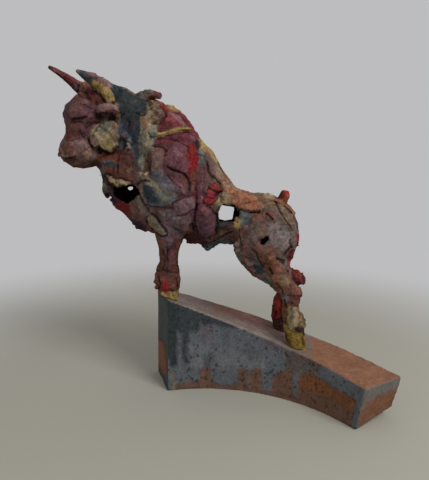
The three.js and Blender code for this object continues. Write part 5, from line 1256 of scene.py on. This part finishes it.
def ball(middle, radius):
    """A small closed ball."""
    turns = 2 * BALL_RINGS
    points = [(0, 0, 1)]
    for i in range(1, BALL_RINGS):
        tilt = math.pi * i / BALL_RINGS
        for k in range(turns):
            turn = 2 * math.pi * k / turns
            points.append((math.sin(tilt) * math.cos(turn), math.sin(tilt) * math.sin(turn), math.cos(tilt)))
    points.append((0, 0, -1))
    last = len(points) - 1
    faces = []
    for k in range(turns):
        n = (k + 1) % turns
        faces.append((0, 1 + k, 1 + n))
        faces.append((last, last - turns + n, last - turns + k))
        for i in range(BALL_RINGS - 2):
            a, b = 1 + i * turns, 1 + (i + 1) * turns
            faces.append((a + k, b + k, b + n))
            faces.append((a + k, b + n, a + n))
    return np.array(points) * radius + middle, np.array(faces)


def rolled(tree, rolls):
    """Balls along each roll, each where the camera's ray through its pixel comes nearest to the clay."""
    parts = []
    for radius, line in rolls.values():
        line = np.array(line, float)
        for a, b in zip(line[:-1], line[1:]):
            for share in np.arange(0, 1, ROLL_STEP / np.linalg.norm(b - a)):
                u, v = a + (b - a) * share
                ray = AXES[2] + AXES[0] * (u - PHOTO_WIDE / 2) / FOCAL_PIXELS
                ray = unit(ray + AXES[1] * (PHOTO_HIGH / 2 - v) / FOCAL_PIXELS)
                hit = tree.ray_cast(Vector(CAMERA_AT), Vector(ray))[0]
                if hit is None:
                    spots = [CAMERA_AT + ray * reach for reach in range(RAY_START, RAY_END, RAY_STEP)]
                    hit = min(spots, key=lambda spot: tree.find_nearest(spot)[3])
                    if tree.find_nearest(hit)[3] > radius * ROLL_NEAR:
                        continue
                    sink = 0
                else:
                    sink = ROLL_SINK * radius
                parts.append(ball(np.array(hit) + ray * sink, radius))
    return parts


def plinth_line():
    """The middle of the plinth's hollow, from end to end."""
    along = np.linspace(PLINTH_LINE_START, PLINTH_LINE_END, PLINTH_LINE_SPOTS)
    turn = np.radians(PLINTH_ANGLES[0] + (PLINTH_ANGLES[1] - PLINTH_ANGLES[0]) * along)
    reach = PLINTH_RADIUS + PLINTH_WIDTH / 2
    x, y = PLINTH_CENTRE[0] + np.cos(turn) * reach, PLINTH_CENTRE[1] + np.sin(turn) * reach
    return np.stack([x, y, plinth_top(along) / 2], 1)


def skin(names, voxel, rolls):
    """The fused and smoothed skin of some nodes and rolls, and the node nearest to each of its faces."""
    points, faces, owner = joined([arrays_of(frame["nodes"][name]) for name in names])
    tree = BVHTree.FromPolygons(points.tolist(), faces.tolist())
    all_points, all_faces, _ = joined([(points, faces)] + rolled(tree, rolls))
    p, f = fuse(all_points, all_faces, voxel)
    ring = Ring(f, len(p))
    for _ in range(SMOOTH_PASSES):
        p = p + SMOOTH_IN * (ring.mean(p) - p)
        p = p - SMOOTH_OUT * (ring.mean(p) - p)
    middles = p[f].mean(1)
    near = np.array([owner[tree.find_nearest(m)[2]] for m in middles.tolist()])
    return p, f, near, ring


def outer_faces(names, p, f, near):
    """Faces that aren't on the inside of a shell."""
    middles, n = p[f].mean(1), unit(face_normals(p, f))
    keep = np.ones(len(f), bool)
    for i, name in enumerate(names):
        mine = near == i
        if is_shell(name):
            outward = unit(off_line(middles[mine], line_of(name)))
            keep[mine] = (n[mine] * outward).sum(1) > SHELL_FACING
        elif name in PLINTH:
            outward = unit(off_line(middles[mine], plinth_line()))
            keep[mine] = (n[mine] * outward).sum(1) > 0
    return keep


def dressed(name, points, backs, faces, normals, colours, gloss):
    """A closed piece: a patch of the skin, backed by a copy that is set in."""
    edge = boundary(faces)
    n = len(points)
    walls = np.stack([edge[:, 1], edge[:, 0], edge[:, 0] + n, edge[:, 1] + n], 1)
    all_points = np.concatenate([points, backs])
    all_points[:, 2] = np.maximum(all_points[:, 2], 0)
    all_faces = np.concatenate([faces, faces[:, ::-1] + n, walls])
    mesh = bpy.data.meshes.new(name)
    mesh.from_pydata((all_points * MM).tolist(), [], all_faces.tolist())
    mesh.polygons.foreach_set("use_smooth", np.ones(len(all_faces), bool))
    mesh.normals_split_custom_set_from_vertices(np.concatenate([normals, -normals]).tolist())
    paint = mesh.attributes.new("paint", "FLOAT_COLOR", "POINT")
    rows = np.ones((2 * n, 4))
    rows[:n, :3] = colours
    rows[n:, :3] = linear(BACK_TONE)
    paint.data.foreach_set("color", rows.ravel())
    shine = mesh.attributes.new("shine", "FLOAT", "POINT")
    shine.data.foreach_set("value", np.concatenate([gloss, np.zeros(n)]))
    return put(name, mesh)


# Materials

# Grain of the clay, as scale per metre and detail, and the spans of it that count
FINE_GRAIN, BROAD_GRAIN, PIT_GRAIN = (900, 3), (260, 2), (800, 4)
GRAIN_SPAN, GRAIN_SHADES = (0.3, 0.7), (0.7, 1.3)
DUST_TONE, DUST_SPAN, DUST_SHARE = "ochre", (0.56, 0.72), 0.1
SPECK_TONE, SPECK_SCALE, SPECK_SPAN = "soot", 290, (0.14, 0.24)
ROUGH_UNEVEN, SHEEN = 0.06, 0.12
PIT_STRENGTH, PIT_DEPTH = 0.8, 0.0008


def clay_material(slot, dull, glossy, speckle):
    """Painted clay: the laid colours, varied at the size of the grain, with a rough pitted surface."""
    mat = bpy.data.materials.new(slot)
    mat.use_nodes = True
    tree = mat.node_tree
    shader = tree.nodes["Principled BSDF"]
    add, link = tree.nodes.new, tree.links.new
    place = add("ShaderNodeTexCoord").outputs["Object"]

    def grain(scale, detail):
        node = add("ShaderNodeTexNoise")
        node.inputs["Scale"].default_value = scale
        node.inputs["Detail"].default_value = detail
        link(place, node.inputs["Vector"])
        return node.outputs["Fac"]

    def mapped(value, low, high, to_low, to_high):
        node = add("ShaderNodeMapRange")
        link(value, node.inputs["Value"])
        for key, number in (("From Min", low), ("From Max", high), ("To Min", to_low), ("To Max", to_high)):
            node.inputs[key].default_value = number
        return node.outputs["Result"]

    def mixed(kind, amount, first, second):
        node = add("ShaderNodeMix")
        node.data_type = "RGBA"
        node.blend_type = kind
        for key, value in (("Factor", amount), ("A", first), ("B", second)):
            named = [s for s in node.inputs if s.name == key and s.enabled]
            socket = next(s for s in named if s.type in ("RGBA", "VALUE"))
            if isinstance(value, bpy.types.NodeSocket):
                link(value, socket)
            else:
                socket.default_value = value
        return next(s for s in node.outputs if s.enabled)

    paint = add("ShaderNodeAttribute")
    paint.attribute_name = "paint"
    shine = add("ShaderNodeAttribute")
    shine.attribute_name = "shine"
    fine, broad = grain(*FINE_GRAIN), grain(*BROAD_GRAIN)
    tone = mapped(fine, *GRAIN_SPAN, *GRAIN_SHADES)
    colour = mixed("MULTIPLY", 1.0, paint.outputs["Color"], tone)
    dusty = mapped(broad, *DUST_SPAN, 0, DUST_SHARE)
    colour = mixed("MIX", dusty, colour, (*linear(DUST_TONE), 1))
    specks = add("ShaderNodeTexVoronoi")
    specks.inputs["Scale"].default_value = SPECK_SCALE
    link(place, specks.inputs["Vector"])
    spots = mapped(specks.outputs["Distance"], *SPECK_SPAN, speckle, 0)
    colour = mixed("MIX", spots, colour, (*linear(SPECK_TONE), 1))
    link(colour, shader.inputs["Base Color"])
    rough = mapped(shine.outputs["Fac"], 0, 1, dull, glossy)
    uneven = mapped(fine, *GRAIN_SPAN, -ROUGH_UNEVEN, ROUGH_UNEVEN)
    total = add("ShaderNodeMath")
    link(rough, total.inputs[0])
    link(uneven, total.inputs[1])
    link(total.outputs["Value"], shader.inputs["Roughness"])
    pits = add("ShaderNodeBump")
    pits.inputs["Strength"].default_value = PIT_STRENGTH
    pits.inputs["Distance"].default_value = PIT_DEPTH
    link(grain(*PIT_GRAIN), pits.inputs["Height"])
    shader.inputs["Specular IOR Level"].default_value = SHEEN
    link(pits.outputs["Normal"], shader.inputs["Normal"])
    return mat


# Roughness where dull and where glazed, and how strongly dark specks show
FINISHES = {
    "slate_glaze": (0.85, 0.42, 0.55), "bare_clay": (0.88, 0.5, 0.35), "washed_clay": (0.85, 0.5, 0.35),
    "plum_slip": (0.8, 0.5, 0.5), "mauve_slip": (0.82, 0.5, 0.5), "slate_slip": (0.78, 0.5, 0.4),
    "cream_slip": (0.84, 0.5, 0.5), "terracotta_slip": (0.82, 0.5, 0.5), "dark_slip": (0.85, 0.5, 0.3),
    "yellow_slip": (0.74, 0.5, 0.6), "red_slip": (0.6, 0.5, 0.5),
}
MATERIALS = {slot: clay_material(slot, *finish) for slot, finish in FINISHES.items()}


# The animal and the plinth


def relief(points, scale, crumbly):
    """The unevenness of hand-torn clay, and the distance to the edge and the number of each scrap."""
    total = layers(points, LUMPS) + crumbly * layers(points, CRUMBS)
    edge, tag = scraps(points + waves(points, SCRAP_BEND), SCRAP_SIZE, SCRAP_SALT)
    total += (tag - 0.5) * SCRAP_STEP - SCRAP_DEPTH * bump(edge, SCRAP_EDGE)
    return total * scale, edge, tag


def blotched_with_painted_light(colour, points, edge, tag, height):
    """Blotches, scrap by scrap, with painted shade in the hollows and painted highlight on the brinks."""
    shade = 1 + layers(points, BLOTCHES) + SCRAP_SHADE * (tag - 0.5)
    shade *= 1 - SEAM_SHADE * bump(edge, SCRAP_EDGE)
    # Painted shade where the relief sinks and painted highlight where it rises
    shade *= np.clip(1 + HOLLOW_PAINTED_SHADE * height, PAINTED_SHADE_DARKEST, BRINK_PAINTED_HIGHLIGHT)
    colour = colour * np.maximum(shade, DARKEST)[:, None]
    warm = np.clip(layers(points, WARM_BLOTCHES), 0, 1)[:, None] * WARM_SHARE
    cool = np.clip(layers(points, COOL_BLOTCHES), 0, 1)[:, None] * COOL_SHARE
    colour = colour * (1 - warm) + linear(WARM_TONE) * warm
    return colour * (1 - cool) + linear(COOL_TONE) * COOL_DIMMED * cool


def jittered(px, points, reach):
    """Places in the photograph, made to wander like a hand-torn edge."""
    return px + waves(points, OUTLINE_WANDER) * reach


def thickness_of(name):
    """How thick the clay of a node is."""
    return next((thick for start, thick in THICKNESS.items() if name.startswith(start)), SLAB)


def room_behind(points, faces, inward):
    """How much clay lies behind each place, up to ROOM_REACH."""
    tree = BVHTree.FromPolygons(points.tolist(), faces.tolist())
    room = np.full(len(points), ROOM_REACH)
    starts = points + inward * ROOM_START
    for i, (start, way) in enumerate(zip(starts.tolist(), inward.tolist())):
        distance = tree.ray_cast(start, way, ROOM_REACH)[3]
        if distance is not None:
            room[i] = distance
    return room


def mended(lifted, px, ring):
    """The relief, blended where neighbours take theirs from places far apart."""
    jump = (np.linalg.norm(ring.mean(px) - px, axis=1) > JUMP_PIXELS).astype(float)
    blended = lifted
    for _ in range(JUMP_PASSES):
        jump, blended = ring.mean(jump), ring.mean(blended)
    return lifted + (blended - lifted) * np.clip(jump * JUMP_SPREAD, 0, 1)


def make(names, voxel, rolls, coat_of):
    """The painted skin of some nodes, cut into one closed piece for each node."""
    p, f, near, ring = skin(names, voxel, rolls)
    who = np.zeros(len(p), int)
    who[f.ravel()] = np.repeat(near, 4)
    tones = np.array([linear(tone_of(name)) for name in names])[who]
    coat = Coat(p, tones)
    normals = normals_of(p, f)
    for _ in range(NORMAL_PASSES):
        normals = unit(ring.mean(normals))
    lifted, gloss = coat_of(names, p, who, normals, coat)
    lifted = mended(lifted, coat.px, ring)
    p = p + normals * lifted[:, None]
    p[:, 2] = np.maximum(p[:, 2], 0)
    inward = -normals
    room = ROOM_SHARE * room_behind(p, f, inward)
    normals = normals_of(p, f)
    keep = outer_faces(names, p, f, near)
    for i, name in enumerate(names):
        mine = keep & (near == i)
        if not mine.any():
            continue
        used, new = np.unique(f[mine], return_inverse=True)
        backs = p[used] + inward[used] * np.minimum(thickness_of(name), room[used])[:, None]
        faces = new.reshape(-1, 4)
        piece = dressed(name + "_skin", p[used], backs, faces, normals[used], coat.colour[used], gloss[used])
        piece.data.materials.append(MATERIALS[SLOTS[name]])
        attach(piece, "root")
        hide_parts(name)


def coat_animal(names, p, who, normals, coat):
    """Paints the animal, and returns how far each place is lifted and how glossy it is."""
    for i, name in enumerate(names):
        mine = np.flatnonzero(who == i)
        place = shown_place(name, p[mine])
        px = to_photo(place)
        hidden = ease(np.linalg.norm(place - p[mine], axis=1) / FOLD_FADE)
        px += waves(p[mine], HIDDEN_WANDER) * hidden[:, None]
        coat.px[mine] = jittered(px, p[mine], WANDER)
        coat.torn[mine] = jittered(px, p[mine], TEAR)
    groups = np.array([group_of(name) for name in names])[who]
    shells = np.flatnonzero(np.isin(groups, SHELL_GROUPS))
    for tables in SHELL_TABLES:
        coat.lay(shells, tables)
    for group, tables in GROUP_TABLES.items():
        coat.lay(np.flatnonzero(groups == group), tables)
    soft = np.where(np.isin(groups, ["head", "trunk", "thigh"]), 1.0, SMALL_PIECE_RELIEF)
    crumbly = np.zeros(len(p))
    for width, line in CRUMBLY.values():
        at = coat.near(np.arange(len(p)), line, SWELL_REACH * width)
        crumbly[at] = np.maximum(crumbly[at], bump(off_stroke(coat.px[at], line), width))
    rough, edge, tag = relief(p, soft, crumbly)
    lifted = coat.lift + rough
    # Blotches, and painted shade and highlight by the height of the relief
    coat.colour = blotched_with_painted_light(coat.colour, p, edge, tag, lifted)
    # Painted shade: cracks and the brinks beside proud scraps are darkened towards a near-black tone
    coat.colour += (linear(PAINTED_SHADE_TONE) * PAINTED_SHADE_DIMMED - coat.colour) * coat.dark[:, None]
    return lifted + coat.form, np.zeros(len(p))


def coat_plinth(names, p, who, normals, coat):
    """Glazes the plinth, and returns how far each place is lifted and how glossy it is."""
    along, radius = round_plinth(p)
    ray = unit(np.concatenate([p[:, :2] - PLINTH_CENTRE, np.zeros((len(p), 1))], 1))
    facing = (normals * ray).sum(1)
    tangent = np.stack([ray[:, 1], -ray[:, 0]], 1)
    endward = (normals[:, :2] * tangent).sum(1)
    top, under = normals[:, 2] > FACE_UP, normals[:, 2] < -FACE_UP
    ends = ~top & ~under & (np.abs(endward) > FACE_END)
    wall = ~top & ~under & ~ends
    behind = wall & (facing > 0)
    shown = p.copy()
    shown[behind] -= ray[behind] * (radius[behind] - PLINTH_RADIUS)[:, None]
    coat.px = jittered(to_photo(shown), p, WANDER)
    coat.torn = jittered(to_photo(shown), p, PLINTH_TEAR)
    run = np.stack([along * RUN_STRETCH, shown[:, 2] / RUN_LENGTH, behind * RUN_BEHIND], 1)
    coat.torn[:, 1] += layers(run, RUN_WANDER) * wall
    coat.colour[:] = linear("panel")
    for where, tone, table in ((wall, "glaze", WALL_PATCHES), (top, "wash", TOP_PATCHES),
                               (ends & (along > 0.5), "end_clay", LOW_END_PATCHES),
                               (ends & (along < 0.5), "glaze_dark", TALL_END_PATCHES)):
        coat.colour[where] = linear(tone)
        coat.patches(np.flatnonzero(where), table, WALL_BLED)
    at = coat.near(np.flatnonzero(wall | top), TOP_EDGE, EDGE_REACH)
    coat.tint(at, "glaze_yellow", bump(off_stroke(coat.px[at], TOP_EDGE), EDGE_WIDTH) * EDGE_STRENGTH)
    shade = 1 + layers(p, PLINTH_BLOTCHES) + layers(run, RUN_SHADES) * wall
    coat.colour = coat.colour * shade[:, None]
    freckle = ease((layers(p, FRECKLES) - FRECKLE_FROM) / FRECKLE_FADE) * wall
    coat.colour += (linear("coal") - coat.colour) * (freckle * FRECKLE_STRENGTH)[:, None]
    blue = coat.colour[:, 2] / np.maximum(coat.colour[:, 0], LEAST_RED)
    gloss = ease((blue - SHINE_FROM) / SHINE_FADE) * (wall | ends)
    return (coat.lift + layers(p, PLINTH_LUMPS)) * ~under, gloss


make(ANIMAL, ANIMAL_GRAIN, ROLLS, coat_animal)
make(PLINTH, PLINTH_GRAIN, {}, coat_plinth)

# Stage, in metres

FLOOR_REACH, FLOOR_ROUGHNESS = 6.0, 0.9
FLOOR_TONE = (0.4, 0.39, 0.33, 1)
BACKDROP_TONE = (0.51, 0.51, 0.52, 1)
FADE_START, FADE_END = 0.26, 0.8
SKY_TONE, SKY_STRENGTH = (1.0, 0.99, 0.98, 1), 0.45
LAMPS = {"key": ((0.85, -0.75, 1.15), 13, 0.6), "fill": ((-0.9, -0.9, 0.7), 1.2, 1.2)}
LAMPS_AIM = Vector((0, 0, 0.2))


def floor_material():
    """A plain floor that the camera sees fade into the backdrop."""
    mat = bpy.data.materials.new("floor")
    mat.use_nodes = True
    tree = mat.node_tree
    add, link = tree.nodes.new, tree.links.new
    matte = tree.nodes["Principled BSDF"]
    matte.inputs["Base Color"].default_value = FLOOR_TONE
    matte.inputs["Roughness"].default_value = FLOOR_ROUGHNESS
    distance = add("ShaderNodeVectorMath")
    distance.operation = "LENGTH"
    link(add("ShaderNodeNewGeometry").outputs["Position"], distance.inputs[0])
    fade = add("ShaderNodeMapRange")
    fade.interpolation_type = "SMOOTHSTEP"
    fade.inputs["From Min"].default_value = FADE_START
    fade.inputs["From Max"].default_value = FADE_END
    link(distance.outputs["Value"], fade.inputs["Value"])
    seen = add("ShaderNodeMath")
    seen.operation = "MULTIPLY"
    link(fade.outputs["Result"], seen.inputs[0])
    link(add("ShaderNodeLightPath").outputs["Is Camera Ray"], seen.inputs[1])
    glow = add("ShaderNodeEmission")
    glow.inputs["Color"].default_value = BACKDROP_TONE
    blend = add("ShaderNodeMixShader")
    for source, socket in zip((seen, matte, glow), blend.inputs):
        link(source.outputs[0], socket)
    link(blend.outputs[0], tree.nodes["Material Output"].inputs["Surface"])
    return mat


def floor():
    """A wide square to stand on."""
    r = FLOOR_REACH
    mesh = bpy.data.meshes.new("floor")
    mesh.from_pydata([(-r, -r, 0), (r, -r, 0), (r, r, 0), (-r, r, 0)], [], [(0, 1, 2, 3)])
    mesh.materials.append(floor_material())
    return put("floor", mesh)


def sky():
    """Soft light from all round, and a plain backdrop for the camera."""
    world = bpy.data.worlds.new("studio")
    world.use_nodes = True
    tree = world.node_tree
    add, link = tree.nodes.new, tree.links.new
    soft = tree.nodes["Background"]
    soft.inputs["Color"].default_value = SKY_TONE
    soft.inputs["Strength"].default_value = SKY_STRENGTH
    backdrop = add("ShaderNodeBackground")
    backdrop.inputs["Color"].default_value = BACKDROP_TONE
    blend = add("ShaderNodeMixShader")
    link(add("ShaderNodeLightPath").outputs["Is Camera Ray"], blend.inputs[0])
    link(soft.outputs[0], blend.inputs[1])
    link(backdrop.outputs[0], blend.inputs[2])
    link(blend.outputs[0], tree.nodes["World Output"].inputs["Surface"])
    return world


def lamp(name, place, power, size):
    """A square lamp that looks at the sculpture."""
    light = bpy.data.lights.new(name, "AREA")
    light.energy = power
    light.size = size
    obj = put(name, light)
    obj.location = place
    obj.rotation_euler = (LAMPS_AIM - obj.location).to_track_quat("-Z", "Y").to_euler()


def camera():
    """The photograph's own camera."""
    lens = bpy.data.cameras.new("camera")
    lens.sensor_width = SENSOR
    lens.lens = SENSOR * FOCAL_PIXELS / PHOTO_HIGH
    obj = put("camera", lens)
    turned = Matrix(np.array([AXES[0], AXES[1], -AXES[2]]).T.tolist()).to_4x4()
    obj.matrix_world = Matrix.Translation(CAMERA_AT * MM) @ turned
    return obj


floor()
bpy.context.scene.world = sky()
for name, (place, power, size) in LAMPS.items():
    lamp(name, place, power, size)
bpy.context.scene.camera = camera()
bpy.context.scene.view_settings.view_transform = "Standard"
